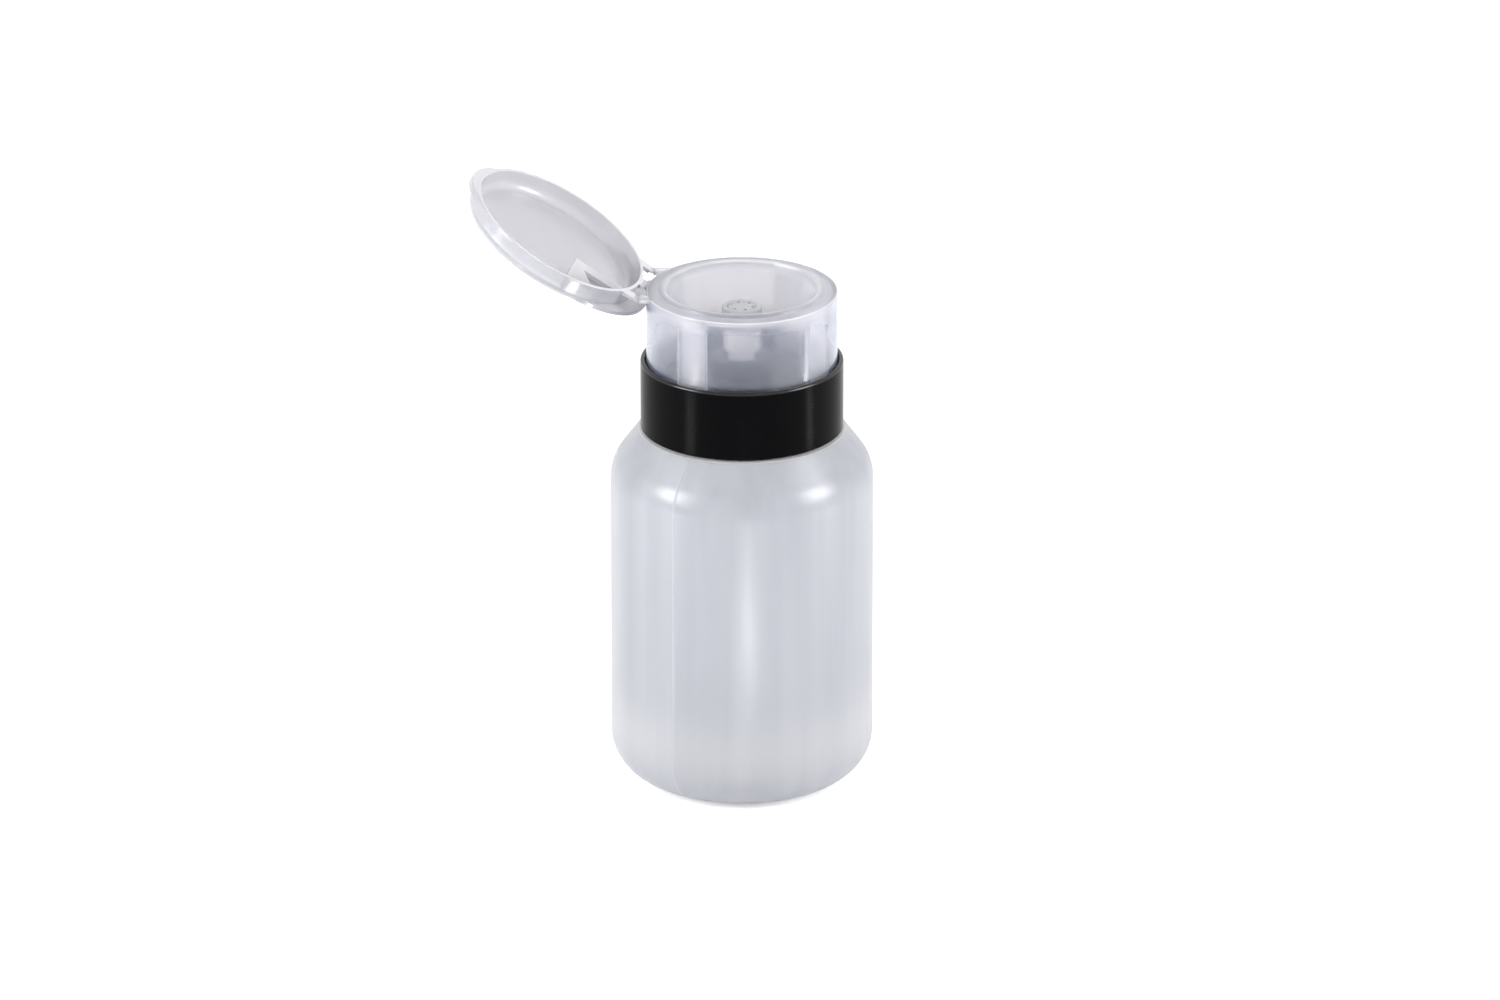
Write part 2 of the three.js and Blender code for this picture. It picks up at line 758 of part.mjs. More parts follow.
// One film of the living hinge, from the actuator's ear to the lid's, with the lid turned back.
function hingeFilm(low, high) {
  const reach = earSetback - runningGap;
  const drop = lidClosedGap / 2 + filmThickness / 2 + touchGap;
  const turn = radians(hingeOpen);
  const fixed = new THREE.Vector2(reach, -drop);
  const free = new THREE.Vector2(reach, drop).rotateAround(new THREE.Vector2(0, 0), turn);
  const along = free.clone().sub(fixed);
  const across = new THREE.Vector2(-along.y, along.x).setLength(filmThickness / 2);
  const shape = new THREE.Shape([
    fixed.clone().add(across),
    free.clone().add(across),
    free.clone().sub(across),
    fixed.clone().sub(across),
  ]);
  const geometry = new THREE.ExtrudeGeometry(shape, { depth: high - low, bevelEnabled: false });
  geometry.rotateX(Math.PI / 2);
  geometry.translate(0, high, 0);
  return solidOf(geometry);
}

// Natural polyethylene, clear polypropylene, black and white mouldings, rubber and steel
const finishes = {
  natural: { color: 0xd6d8de, roughness: 0.35, metalness: 0.0 },
  clear: { color: 0xdfe0e8, roughness: 0.2, metalness: 0.0 },
  black: { color: 0x141416, roughness: 0.22, metalness: 0.0 },
  white: { color: 0xeceff2, roughness: 0.35, metalness: 0.0 },
  rubber: { color: 0xd8d8d4, roughness: 0.8, metalness: 0.0 },
  steel: { color: 0xb8bcc2, roughness: 0.25, metalness: 1.0 },
};

// Wraps a solid as a named mesh with its own material.
function piece(name, solid, finish) {
  const mesh = new THREE.Mesh(geometryOf(solid), new THREE.MeshStandardMaterial(finishes[finish]));
  mesh.name = name;
  return mesh;
}

const dispenser = new THREE.Group();
dispenser.add(piece('bottle', bottle(), 'natural'));
dispenser.add(piece('screw_collar', screwCollar(), 'black'));
dispenser.add(piece('neck_gasket', neckGasket(), 'rubber'));

const pump = new THREE.Group();
pump.add(piece('pump_housing', pumpHousing(), 'white'));
pump.add(piece('ball_cage', ballCage(), 'white'));
pump.add(piece('dip_tube', dipTube(), 'natural'));
pump.add(piece('retainer_bushing', retainerBushing(), 'white'));
pump.add(piece('return_spring', returnSpring(), 'steel'));
const inletBall = piece('inlet_ball', ball(inletBallR), 'steel');
inletBall.position.z = seatedBallZ(inletSeatZ, inletBallR);
pump.add(inletBall);
dispenser.add(pump);

const actuator = new THREE.Group();
actuator.add(piece('dish_actuator', dishActuator(), 'clear'));
actuator.add(piece('pump_stem', pumpStem(), 'white'));
actuator.add(piece('piston', piston(), 'white'));
actuator.add(piece('stem_head', stemHead(), 'white'));
actuator.add(piece('outlet_cap', outletCap(), 'clear'));
const outletBall = piece('outlet_ball', ball(outletBallR), 'steel');
outletBall.position.z = seatedBallZ(headSeatZ, outletBallR);
actuator.add(outletBall);
dispenser.add(actuator);

const hinge = new THREE.Group();
hinge.position.set(-hingeR, 0, hingeZ);
const films = ['hinge_film_front', 'hinge_film_middle', 'hinge_film_back'];
strapSpans().forEach(([low, high], i) => {
  hinge.add(piece(films[i], hingeFilm(low, high), 'clear'));
});
const lidTurn = new THREE.Group();
lidTurn.rotation.y = -radians(hingeOpen);
const lid = piece('flip_lid', flipLid(), 'clear');
lid.position.set(hingeR, 0, lidClosedGap / 2);
lidTurn.add(lid);
hinge.add(lidTurn);
dispenser.add(hinge);

export default dispenser;
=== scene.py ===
# %% [markdown]
# # A push-down pump dispenser with a flip lid
# The object is a natural plastic bottle under a black screw collar. A clear dish sits in the collar, and
# pressing it pumps liquid up into its bowl. A clear lid hangs on the dish by a living hinge. The packed
# model comes first, as the fixed frame: it gives every size and place, and nothing here moves it.

# %% Load the frame
import math

import bmesh
import bpy
import numpy as np
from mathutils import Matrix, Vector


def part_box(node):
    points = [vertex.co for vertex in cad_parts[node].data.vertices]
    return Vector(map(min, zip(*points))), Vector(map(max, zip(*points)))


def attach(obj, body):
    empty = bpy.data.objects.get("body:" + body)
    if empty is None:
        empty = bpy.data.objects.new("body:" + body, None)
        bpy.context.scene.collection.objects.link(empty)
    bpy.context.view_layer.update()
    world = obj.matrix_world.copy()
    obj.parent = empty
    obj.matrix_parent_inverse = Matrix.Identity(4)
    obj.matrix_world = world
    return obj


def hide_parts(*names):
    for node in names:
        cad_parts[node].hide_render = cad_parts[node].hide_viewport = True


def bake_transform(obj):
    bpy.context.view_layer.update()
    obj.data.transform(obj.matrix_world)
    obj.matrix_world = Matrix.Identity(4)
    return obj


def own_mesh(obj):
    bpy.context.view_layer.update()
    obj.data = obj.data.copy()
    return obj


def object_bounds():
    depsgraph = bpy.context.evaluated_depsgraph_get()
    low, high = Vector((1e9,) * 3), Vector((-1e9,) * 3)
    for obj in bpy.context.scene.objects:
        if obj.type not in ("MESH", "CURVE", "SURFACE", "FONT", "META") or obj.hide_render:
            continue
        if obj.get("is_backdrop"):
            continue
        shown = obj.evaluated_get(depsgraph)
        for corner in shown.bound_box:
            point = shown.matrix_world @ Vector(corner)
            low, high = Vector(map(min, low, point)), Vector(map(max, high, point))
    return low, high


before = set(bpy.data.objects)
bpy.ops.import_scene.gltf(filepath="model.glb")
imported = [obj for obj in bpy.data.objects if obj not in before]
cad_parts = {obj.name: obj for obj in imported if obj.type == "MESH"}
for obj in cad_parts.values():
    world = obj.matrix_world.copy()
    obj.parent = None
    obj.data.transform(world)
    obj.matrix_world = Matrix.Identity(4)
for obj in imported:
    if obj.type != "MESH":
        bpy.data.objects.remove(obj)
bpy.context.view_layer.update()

print("nodes:", len(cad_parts))

# %% [markdown]
# ## Millimetres, and sizes read from the frame
# Blender works in metres and this product is drawn in millimetres, so one number turns one into the other.
# Nearly every piece is round and stands on the Z axis, so three numbers give its place: its radius, its
# foot and its top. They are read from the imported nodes, and the sizes inside each piece are written beside
# it.

# %% Read the main sizes
MM = 0.001


def span(node_name):
    """The radius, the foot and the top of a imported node, in millimetres."""
    low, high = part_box(node_name)
    return high[0] / MM, low[2] / MM, high[2] / MM


body_r, _, neck_top = span("bottle")
collar_r, collar_bottom, tower_top = span("screw_collar")
skirt_r, skirt_bottom, lip_top = span("dish_actuator")
print(f"body {2 * body_r:.1f} mm across, neck top {neck_top:.1f} mm, collar {2 * collar_r:.1f} mm across")

# %% [markdown]
# ## Outlines
# A moulding is drawn as half of its section and then turned round the Z axis. An outline is a list of
# corners, each with its radius, its height and its fillet, because no moulded edge is sharp. A bevel
# modifier could round the edges too, but fillets in the outline stay exactly where they are drawn.

# %% Outline helpers
def unit(vector):
    """The vector at length one."""
    return vector / np.linalg.norm(vector)


def rounded(corners, closed=True, steps=5):
    """An outline through [radius, height, fillet] corners.

    A fillet is an arc that touches both sides of its corner. With w the angle between the sides, the arc
    starts fillet / tan(w / 2) from the corner, and its middle is fillet / sin(w / 2) away on the bisector.
    """
    corners = np.array(corners, float)
    parts = []
    for i, (x, y, fillet) in enumerate(corners):
        here = np.array([x, y])
        if fillet == 0 or (not closed and i in (0, len(corners) - 1)):
            parts.append(here[None])
            continue
        before = unit(corners[i - 1, :2] - here)
        after = unit(corners[(i + 1) % len(corners), :2] - here)
        half = 0.5 * math.acos(np.clip(before @ after, -1, 1))
        middle = here + unit(before + after) * fillet / math.sin(half)
        start = here + before * fillet / math.tan(half) - middle
        end = here + after * fillet / math.tan(half) - middle
        turn = math.atan2(start[0] * end[1] - start[1] * end[0], start @ end)
        angle = math.atan2(start[1], start[0]) + turn * np.linspace(0, 1, steps + 1)
        parts.append(middle + fillet * np.stack([np.cos(angle), np.sin(angle)], axis=1))
    return np.concatenate(parts)


def held(outline, closed=True, near=0.12, longest=6.0):
    """The outline with more points on its long sides: one near each end, which keeps the shading of a
    straight side straight, and enough between them that no step is longer than longest."""
    nexts = np.roll(outline, -1, axis=0) if closed else outline[1:]
    parts = []
    for here, ahead in zip(outline, nexts):
        length = np.linalg.norm(ahead - here)
        inner = np.linspace(0, 1, max(2, math.ceil(length / longest) + 1))
        if length > 4 * near:
            inner = np.concatenate([[0], near / length + (1 - 2 * near / length) * inner, [1]])
        parts.append(here + inner[:-1, None] * (ahead - here))
    if not closed:
        parts.append(outline[-1:])
    return np.concatenate(parts)


def smoothstep(t):
    """0 before t = 0 and 1 after t = 1, with 3t^2 - 2t^3 between them."""
    t = np.clip(t, 0, 1)
    return t * t * (3 - 2 * t)


square = rounded([[0, 0, 0.5], [2, 0, 0.5], [2, 2, 0.5], [0, 2, 0.5]])
print("a square with four fillets:", len(square), "points")

# %% [markdown]
# ## Turned solids
# A turned solid is a grid: one row for each point of the outline and one column for each angle. Every point
# is (r cos a, r sin a, z), worked out for the whole grid at once. Before that a shape function may change r
# and z from row to row and from angle to angle, which is how threads, pads and ledges are raised without
# any cutting.

# %% A mesh from points and faces
def solid(name, points, faces):
    """A mesh object from points in millimetres and arrays of faces, with its faces pointing outwards.

    The volume is the sum over the triangles of a . (b x c) / 6. If it comes out negative, the faces run the
    wrong way round and all of them are reversed.
    """
    used, numbers = np.unique(np.concatenate([f.ravel() for f in faces]), return_inverse=True)
    points = points[used]
    split = np.cumsum([f.size for f in faces])[:-1]
    faces = [part.reshape(f.shape) for part, f in zip(np.split(numbers.ravel(), split), faces)]
    volume = 0.0
    for f in faces:
        for k in range(1, f.shape[1] - 1):
            a, b, c = points[f[:, 0]], points[f[:, k]], points[f[:, k + 1]]
            volume += np.einsum("ij,ij->", a, np.cross(b, c)) / 6
    if volume < 0:
        faces = [f[:, ::-1] for f in faces]
    mesh = bpy.data.meshes.new(name)
    mesh.vertices.add(len(points))
    mesh.vertices.foreach_set("co", (points * MM).astype(np.float32).ravel())
    loops = np.concatenate([f.ravel() for f in faces]).astype(np.int32)
    mesh.loops.add(len(loops))
    mesh.loops.foreach_set("vertex_index", loops)
    sizes = np.concatenate([np.full(len(f), f.shape[1]) for f in faces])
    starts = np.concatenate([[0], np.cumsum(sizes)[:-1]]).astype(np.int32)
    mesh.polygons.add(len(starts))
    mesh.polygons.foreach_set("loop_start", starts)
    mesh.update(calc_edges=True)
    mesh.validate()
    mesh.shade_smooth()
    piece = bpy.data.objects.new(name, mesh)
    bpy.context.scene.collection.objects.link(piece)
    return piece


# %% A turned grid
def grid_faces(numbers, wrap_rows):
    """Four-sided faces between neighbouring rows and columns of a grid of point numbers. Where a row has
    shrunk to one point its faces have three sides."""
    ahead = np.roll(numbers, -1, axis=1)
    below, below_ahead = np.roll(numbers, -1, axis=0), np.roll(ahead, -1, axis=0)
    quads = np.stack([numbers, ahead, below_ahead, below], axis=-1)
    if not wrap_rows:
        quads = quads[:-1]
    quads = quads.reshape(-1, 4)
    top = quads[:, 0] == quads[:, 1]
    bottom = quads[:, 2] == quads[:, 3]
    return [quads[~top & ~bottom], quads[top][:, 1:], quads[bottom][:, :3]]


def around(count, extra=(), crowded_share=0.3):
    """Angles all the way round in count even steps, with extra angles between them. An even step that lies
    within crowded_share of a step of an extra one is left out."""
    even = np.arange(count) * 2 * np.pi / count
    extra = np.mod(np.array(extra, float), 2 * np.pi)
    if len(extra):
        apart = np.abs(np.angle(np.exp(1j * (even[:, None] - extra)))).min(axis=1)
        even = even[apart > crowded_share * 2 * np.pi / count]
    return np.sort(np.concatenate([even, extra]))


def turned(name, outline, angles, closed=True, shape=None):
    """A turned solid: each outline point [r, z] goes round Z as (r cos a, r sin a, z). shape(r, z, a) may
    change r and z first. An open outline starts and ends on the axis."""
    r = np.repeat(outline[:, :1], len(angles), axis=1)
    z = np.repeat(outline[:, 1:], len(angles), axis=1)
    if shape:
        r, z = shape(r, z, angles[None, :])
    points = np.stack([r * np.cos(angles), r * np.sin(angles), z], axis=-1).reshape(-1, 3)
    numbers = np.arange(r.size).reshape(r.shape)
    if not closed:
        numbers[0, :] = numbers[0, 0]
        numbers[-1, :] = numbers[-1, 0]
    return solid(name, points, [f for f in grid_faces(numbers, closed) if len(f)])


def report(piece):
    """Prints how many triangles a piece has and how far it reaches."""
    piece.data.calc_loop_triangles()
    x, y, z = np.ptp(np.array(piece.bound_box) / MM, axis=0)
    print(f"{piece.name}: {len(piece.data.loop_triangles)} triangles, {x:.1f} x {y:.1f} x {z:.1f} mm")


def moulding(name, corners, columns=72, closed=True, longest=6.0, shape=None):
    """A turned solid straight from its corners."""
    rows = held(rounded(corners, closed), closed, longest=longest)
    piece = turned(name, rows, around(columns), closed, shape)
    report(piece)
    return piece


# %% [markdown]
# ## Joining and cutting
# A few shapes aren't round: the lid's corner pocket, the hinge's ears and the holes in the outlet. They are
# small closed solids, joined to the round one or cut from it by a Boolean modifier whose result becomes the
# mesh. A Boolean can leave slivers where two surfaces nearly meet, so edges far too short to see are closed
# up after it.

# %% Join or cut
sliver = 0.0005


def combined(base, tools, operation):
    """base with the tools joined to it (UNION) or cut from it (DIFFERENCE). The tools are used up."""
    for tool in tools:
        step = base.modifiers.new(operation, "BOOLEAN")
        step.operation = operation
        step.solver = "MANIFOLD"
        step.object = tool
    bpy.context.view_layer.update()
    final = base.evaluated_get(bpy.context.evaluated_depsgraph_get())
    mesh = bpy.data.meshes.new_from_object(final)
    base.modifiers.clear()
    shape = bmesh.new()
    shape.from_mesh(mesh)
    bmesh.ops.dissolve_degenerate(shape, dist=sliver * MM, edges=shape.edges)
    shape.to_mesh(mesh)
    shape.free()
    base.data = mesh
    for tool in tools:
        bpy.data.objects.remove(tool)
    return base


def creased(piece, angle=32.0):
    """Smooth shading, with a sharp edge wherever two faces meet at more than angle degrees."""
    piece.data.shade_smooth()
    piece.data.set_sharp_from_angle(angle=math.radians(angle))
    return piece


# %% Straight-sided pieces, and a value at each point
def prism(name, outline, low, high, edge=0.0, fold_angle=30.0):
    """An outline of [x, y] points carried from one height to another, with its sharp edges rounded."""
    count = len(outline)
    points = np.concatenate([np.c_[outline, np.full(count, low)], np.c_[outline, np.full(count, high)]])
    ring = np.arange(count)
    ahead = np.roll(ring, -1)
    sides = np.stack([ring, ahead, ahead + count, ring + count], axis=1)
    piece = solid(name, points, [sides, ring[None, ::-1], ring[None] + count])
    if edge:
        shape = bmesh.new()
        shape.from_mesh(piece.data)
        sharp = [e for e in shape.edges if e.calc_face_angle(0) > math.radians(fold_angle)]
        bmesh.ops.bevel(shape, geom=sharp, offset=edge * MM, segments=3, profile=0.5, affect="EDGES")
        shape.to_mesh(piece.data)
        shape.free()
    return piece


def places_of(piece):
    """The points of a piece's mesh, in millimetres."""
    flat = np.empty(len(piece.data.vertices) * 3, np.float32)
    piece.data.vertices.foreach_get("co", flat)
    return flat.reshape(-1, 3) / MM


def milked(piece, values):
    """Stores how milky the plastic looks at each point, from 0 where it is thin to 1 where it is thick. On
    the bottle it also holds painted light: a painted highlight on the rim and a painted glow above the foot.
    """
    layer = piece.data.attributes.new("milk", "FLOAT", "POINT")
    layer.data.foreach_set("value", np.broadcast_to(values, len(piece.data.vertices)).astype(np.float32))
    return piece


# %% [markdown]
# ## The bottle
# The bottle is blown from natural polyethylene: a tube of soft plastic closes between two halves of a mould
# and is blown out against them. So it is a thin shell with an even wall, big round corners, a fine ridge
# down both sides where the halves meet, and a pinched line across the base. A Solidify modifier could give
# the wall, but it would repeat the ridges and the neck's thread on the inside. So the whole section is one
# outline, outside and inside, and they are raised on the outer rows of the grid alone.

# %% The bottle's sizes
side_top = 77.8
base_corner = 11.2
foot_ring = 2.0
push_up = 0.8
push_up_slope = 2.4
shoulder_arc = 11.9
shoulder_slope = 0.745
wall = 1.2
neck_r = 17.45
neck_wall = 1.55
neck_height = 8.95
rim_stand = 0.47

cone_turn = math.atan(shoulder_slope)
shoulder_top = neck_top - neck_height
rim_r = collar_r + rim_stand
shoulder_mid = body_r - shoulder_arc
foot_r = body_r - base_corner - foot_ring
panel_r = foot_r - push_up_slope
inner_neck = neck_r - neck_wall
ledge = shoulder_top - wall
print(f"shoulder top at {shoulder_top:.1f} mm, neck {2 * neck_r:.1f} mm across")

# %% The bottle's section
def cone_start(inset):
    """The radius and the height where the shoulder's arc runs into its cone, on a wall inset from the outer
    one."""
    arc = shoulder_arc - inset
    return shoulder_mid + arc * math.cos(cone_turn), side_top + arc * math.sin(cone_turn)


def cone_z(r, inset):
    """The height of the cone at a radius."""
    start_r, start_z = cone_start(inset)
    return start_z + (start_r - r) / shoulder_slope


def cone_r(z, inset):
    """The radius of the cone at a height."""
    start_r, start_z = cone_start(inset)
    return start_r + (start_z - z) * shoulder_slope


def side_corners(inset):
    """The corners from the foot ring up to the cone: the base corner, and where side and cone would meet."""
    r = body_r - inset
    return [[r, inset, base_corner - inset], [r, cone_z(r, inset), shoulder_arc - inset]]


outside = [
    [0, push_up, 0],
    [panel_r, push_up, 1.5],
    [foot_r, 0, 0.8],
    *side_corners(0),
    [rim_r, cone_z(rim_r, 0), 0.15],
    [rim_r - wall, shoulder_top, 0.6],
    [neck_r, shoulder_top, 1.0],
]
inside = [
    [neck_r, neck_top, 0.4],
    [inner_neck, neck_top, 0.25],
    [inner_neck, ledge, 1.0],
    [cone_r(ledge, wall), ledge, 0.8],
    *side_corners(wall)[::-1],
    [foot_r, wall, 0.8],
    [panel_r, push_up + wall, 1.5],
    [0, push_up + wall, 0],
]
section = rounded(outside + inside, closed=False, steps=14)
print("bottle outline:", len(section), "points")

# %% The bottle's threads and parting lines
thread_lead = 4.233
thread_stand = 1.15
thread_above = 2.1
thread_start = shoulder_top + thread_above
thread_turns = 1.42
seam = math.radians(69.8)
seam_height = 0.13
seam_width = 0.36
seam_stop = 2.0
seam_top = shoulder_top - seam_stop
seam_foot = 1.0
seam_fade = 8.0
pinch_height = 0.3
pinch_width = 0.9
pinch_fade = 3.0
thread_room = 1.0
touch = 0.1  # a point this near a wall counts as on it
margin = 0.4  # a test that picks out one wall stops this far from the next one


def thread(z, angle, start, turns, base=2.0, crest=0.7, fade=0.1):
    """A screw thread's ridge, from 0 to 1. The helix passes angle a at start + lead (a / 2 pi + k), k whole.
    The section is a trapezoid about the nearest pass, and the ends fade out over a share of a turn."""
    part = angle / (2 * np.pi)
    turn = part + np.round((z - start) / thread_lead - part)
    away = np.abs(z - start - thread_lead * turn)
    ridge = smoothstep((base / 2 - away) / ((base - crest) / 2))
    return ridge * smoothstep(turn / fade) * smoothstep((turns - turn) / fade)


def bottle_shape(r, z, angle):
    """Raises the thread on the neck, and the parting line on the body and across the base.

    The parting line lies where the plane through the axis at the seam's angle cuts the surface: a point lies
    r * |sin(a - seam)| from that plane, and the ridge falls off with it as exp(-(d / half width)^2).
    """
    outer_neck = (r > neck_r - touch) & (z > shoulder_top + thread_room) & (r < neck_r + touch)
    ridge = thread_stand * thread(z, angle, thread_start, thread_turns) * outer_neck
    away = r * np.abs(np.sin(angle - seam))
    row = np.arange(len(r))[:, None]
    outer = (row < outer_rows) & (r > panel_r) & (z < seam_top)
    line = seam_height * np.exp(-((away / (seam_width / 2)) ** 2)) * outer
    line = line * smoothstep((z - seam_foot) / seam_fade)
    panel = (row < outer_rows) & (r < panel_r) & (z < push_up + touch)
    pinch = pinch_height * np.exp(-((away / (pinch_width / 2)) ** 2)) * panel
    return r + ridge + line, z - pinch * smoothstep((panel_r - pinch_fade / 2 - r) / pinch_fade)


at_neck = (section[:, 0] > neck_r - margin) & (section[:, 0] < neck_r + touch / 2)
first, last = np.flatnonzero(at_neck & (section[:, 1] > shoulder_top + thread_room - touch))[[0, -1]]
lower = held(section[: first + 1], closed=False, longest=3.0)
threaded = held(section[first : last + 1], closed=False, longest=0.16)
upper = held(section[last:], closed=False, longest=3.0)
rows = np.concatenate([lower[:-1], threaded[:-1], upper])
outer_rows = len(lower)
seam_steps = np.array([-0.7, -0.45, -0.3, -0.2, -0.1, 0, 0.1, 0.2, 0.3, 0.45, 0.7]) / body_r
columns = around(180, np.concatenate([seam + seam_steps, seam + np.pi + seam_steps]))
bottle = turned("bottle_shell", rows, columns, closed=False, shape=bottle_shape)
report(bottle)

# %% [markdown]
# Along the parting lines the plastic lies thicker and looks whiter. The shoulder's rim, seen edge on, is
# painted
# fully white: a painted highlight for the bright line of light under the collar. A soft band above the foot
# is
# painted whiter: a painted glow for the light that the base throws up the wall. A number at each point says
# how much, and the material reads it.

# %% Where the bottle is whiter, and where light is painted on it
seam_milk = 0.38
painted_foot_glow = 0.3
painted_foot_glow_z = 16
painted_foot_glow_spread = 9
painted_rim_drop = 0.3

points = places_of(bottle)
# painted highlight: the shoulder's rim is painted fully white, standing in for the bright line of light
# under the collar
painted_rim_highlight = np.hypot(points[:, 0], points[:, 1]) > rim_r - wall
painted_rim_highlight = painted_rim_highlight & (points[:, 2] > shoulder_top - painted_rim_drop)
from_seam = body_r * np.abs(np.sin(np.arctan2(points[:, 1], points[:, 0]) - seam))
at_seam = seam_milk * np.exp(-((from_seam / seam_width) ** 2)) * (points[:, 2] < seam_top)
# painted light: a soft band above the foot is painted whiter, standing in for the light that the base throws
# up the wall
painted_glow_above_foot = painted_foot_glow * np.exp(-(((points[:, 2] - painted_foot_glow_z) / painted_foot_glow_spread) ** 2))
milked(bottle, np.max([painted_rim_highlight, at_seam, painted_glow_above_foot], axis=0))
print(f"{painted_rim_highlight.sum()} points on the rim are fully white")

# %% [markdown]
# ## The screw collar
# One black moulding does four jobs: an outer ring that hides the dish's skirt, a web across to the threaded
# inner cap, a deck that holds the pump's flange down, and a tower that guides the pump's head. The thread
# inside the cap is raised inwards, half a lead away from the neck's, so that the two lie between each
# other. A coil pushed into the wall would look the same, but this way the collar stays one closed solid.

# %% The collar
collar_wall = 1.18
collar_height = 17.45
collar_edge = 0.6
web_rise = 0.25
web_thick = 1.5
cap_play = 0.3
cap_wall = 1.5
cap_thread_stand = 0.95
cap_thread_turns = 0.95
tower_height = 7.2
tower_r = 7.4
tower_bore = 4.85
deck_thick = 1.4

collar_top = collar_bottom + collar_height
collar_inner = collar_r - collar_wall
web_low = collar_bottom + web_rise
web_high = web_low + web_thick
cap_bore = neck_r + thread_stand + cap_play
cap_r = cap_bore + cap_wall
deck_low = tower_top - tower_height
deck_high = deck_low + deck_thick
collar_corners = [
    [collar_inner, collar_bottom, 0.08],
    [collar_r, collar_bottom, 0.2],
    [collar_r, collar_top, collar_edge],
    [collar_inner, collar_top, 0.35],
    [collar_inner, web_high, 0.4],
    [cap_r, web_high, 0.4],
    [cap_r, deck_high, 0.6],
    [tower_r, deck_high, 0.8],
    [tower_r, tower_top, 0.35],
    [tower_bore, tower_top, 0.2],
    [tower_bore, deck_low, 0.15],
    [cap_bore, deck_low, 0.4],
    [cap_bore, web_low, 0.3],
    [collar_inner, web_low, 0.08],
]


def collar_shape(r, z, angle):
    """Raises the thread inwards from the cap's bore, half a lead above the neck's thread."""
    bore = (np.abs(r - cap_bore) < touch / 2) & (z > web_low + margin) & (z < deck_low - margin)
    start = thread_start + thread_lead / 2
    return r - cap_thread_stand * bore * thread(z, angle, start, cap_thread_turns), z


collar_rows = held(rounded(collar_corners, steps=6), longest=0.25)
collar = turned("collar", collar_rows, around(180), shape=collar_shape)
report(collar)

# %% [markdown]
# ## The dish
# The dish, its skirt and the small boss of the outlet are one clear moulding. The bowl is part of a sphere,
# hung from a raised lip. Inside the skirt four flat pads, as tall as the skirt, keep it centred on the
# collar's cap. Pads joined by a Boolean would leave long thin faces, which clear plastic shows, so each pad
# is the skirt's inner wall moved inwards over a few columns of the grid.

# %% The dish's section
skirt_wall = 1.2
top_thick = 1.2
lip_height = 0.8
lip_reach = 3.15
bowl_r = 18.9
bowl_depth = 8.85
bowl_wall = 1.1
boss_r = 4.9
boss_height = 3.85
outlet_bore = 3.6
seat_r = 5.6

skirt_inner = skirt_r - skirt_wall
skirt_top = lip_top - lip_height
lip_r = skirt_r - lip_reach
underside = skirt_top - top_thick
bowl_pole = lip_top - bowl_depth
bowl_sphere = (bowl_r**2 + bowl_depth**2) / (2 * bowl_depth)
bowl_middle = bowl_pole + bowl_sphere
boss_top = bowl_pole + boss_height
seat_z = bowl_pole - bowl_wall
underside_r = math.sqrt((bowl_sphere + bowl_wall) ** 2 - (bowl_middle - underside) ** 2)


def bowl_line(start, end, offset, steps, fillets):
    """Corners along the bowl between two radii: z = middle - sqrt((sphere + offset)^2 - r^2). The fillets
    are those of its first and last corner."""
    r = np.linspace(start, end, steps + 1)
    z = bowl_middle - np.sqrt((bowl_sphere + offset) ** 2 - r**2)
    return np.c_[r, z, [fillets[0], *[0] * (steps - 1), fillets[1]]]


dish_corners = [
    [skirt_inner, skirt_bottom, 0.15],
    [skirt_r, skirt_bottom, 0.2],
    [skirt_r, skirt_top, 0.5],
    [lip_r, skirt_top, 0.3],
    [lip_r, lip_top, 0.3],
    *bowl_line(bowl_r, boss_r, 0, 22, (0.3, 0.35)),
    [boss_r, boss_top, 0.35],
    [outlet_bore, boss_top, 0.15],
    [outlet_bore, seat_z, 0.1],
    [seat_r, seat_z, 0.05],
    *bowl_line(seat_r, underside_r, bowl_wall, 20, (0, 0.25)),
    [skirt_inner, underside, 0.35],
]
print(f"bowl {bowl_depth} mm deep, on a sphere of {bowl_sphere:.1f} mm")

# %% The dish's pads
pad_width = 7.6
pad_depth = 1.55
pad_mid = skirt_inner - pad_depth / 2
pad_angles = np.radians(-112.4 + 90 * np.arange(4))
pad_corner = 0.06


def dish_shape(r, z, angle):
    """Moves the skirt's inner wall in by the pad's depth where a point lies within the pad's width.

    The distance from a pad's middle plane is s = r sin(a - pad). The underside moves in step, by the share
    of its way from the bowl to the wall, so that the wall and the underside still meet.
    """
    across = pad_mid * np.abs(np.sin(angle[..., None] - pad_angles))
    ahead = np.cos(angle[..., None] - pad_angles) > 0
    pad = (smoothstep((pad_width / 2 + pad_corner - across) / (2 * pad_corner)) * ahead).max(axis=-1)
    inner = (r > underside_r - touch) & (r < skirt_inner + skirt_wall / 2) & (z < underside + margin)
    share = np.clip((r - underside_r) / (skirt_inner - underside_r), 0, 1)
    return r - pad_depth * pad * share * inner, z


edge_steps = np.array([-0.5, -0.12, -0.06, -0.02, 0.02, 0.06, 0.12, 0.5])
edge_angles = np.arcsin((pad_width / 2 + edge_steps) / pad_mid)
edge_angles = np.concatenate([-edge_angles, edge_angles])
dish_columns = around(180, (pad_angles[:, None] + edge_angles).ravel())
dish_rows = held(rounded(dish_corners, steps=6), longest=1.5)
dish = turned("dish", dish_rows, dish_columns, shape=dish_shape)
report(dish)

# %% The dish's ears
strap_spans = [(-11.45, -8.45), (-2.35, 2.35), (8.45, 11.45)]
ear_x = 23.89
ear_thick = 1.0
ear_sink = 0.6
ear_edge = 0.12


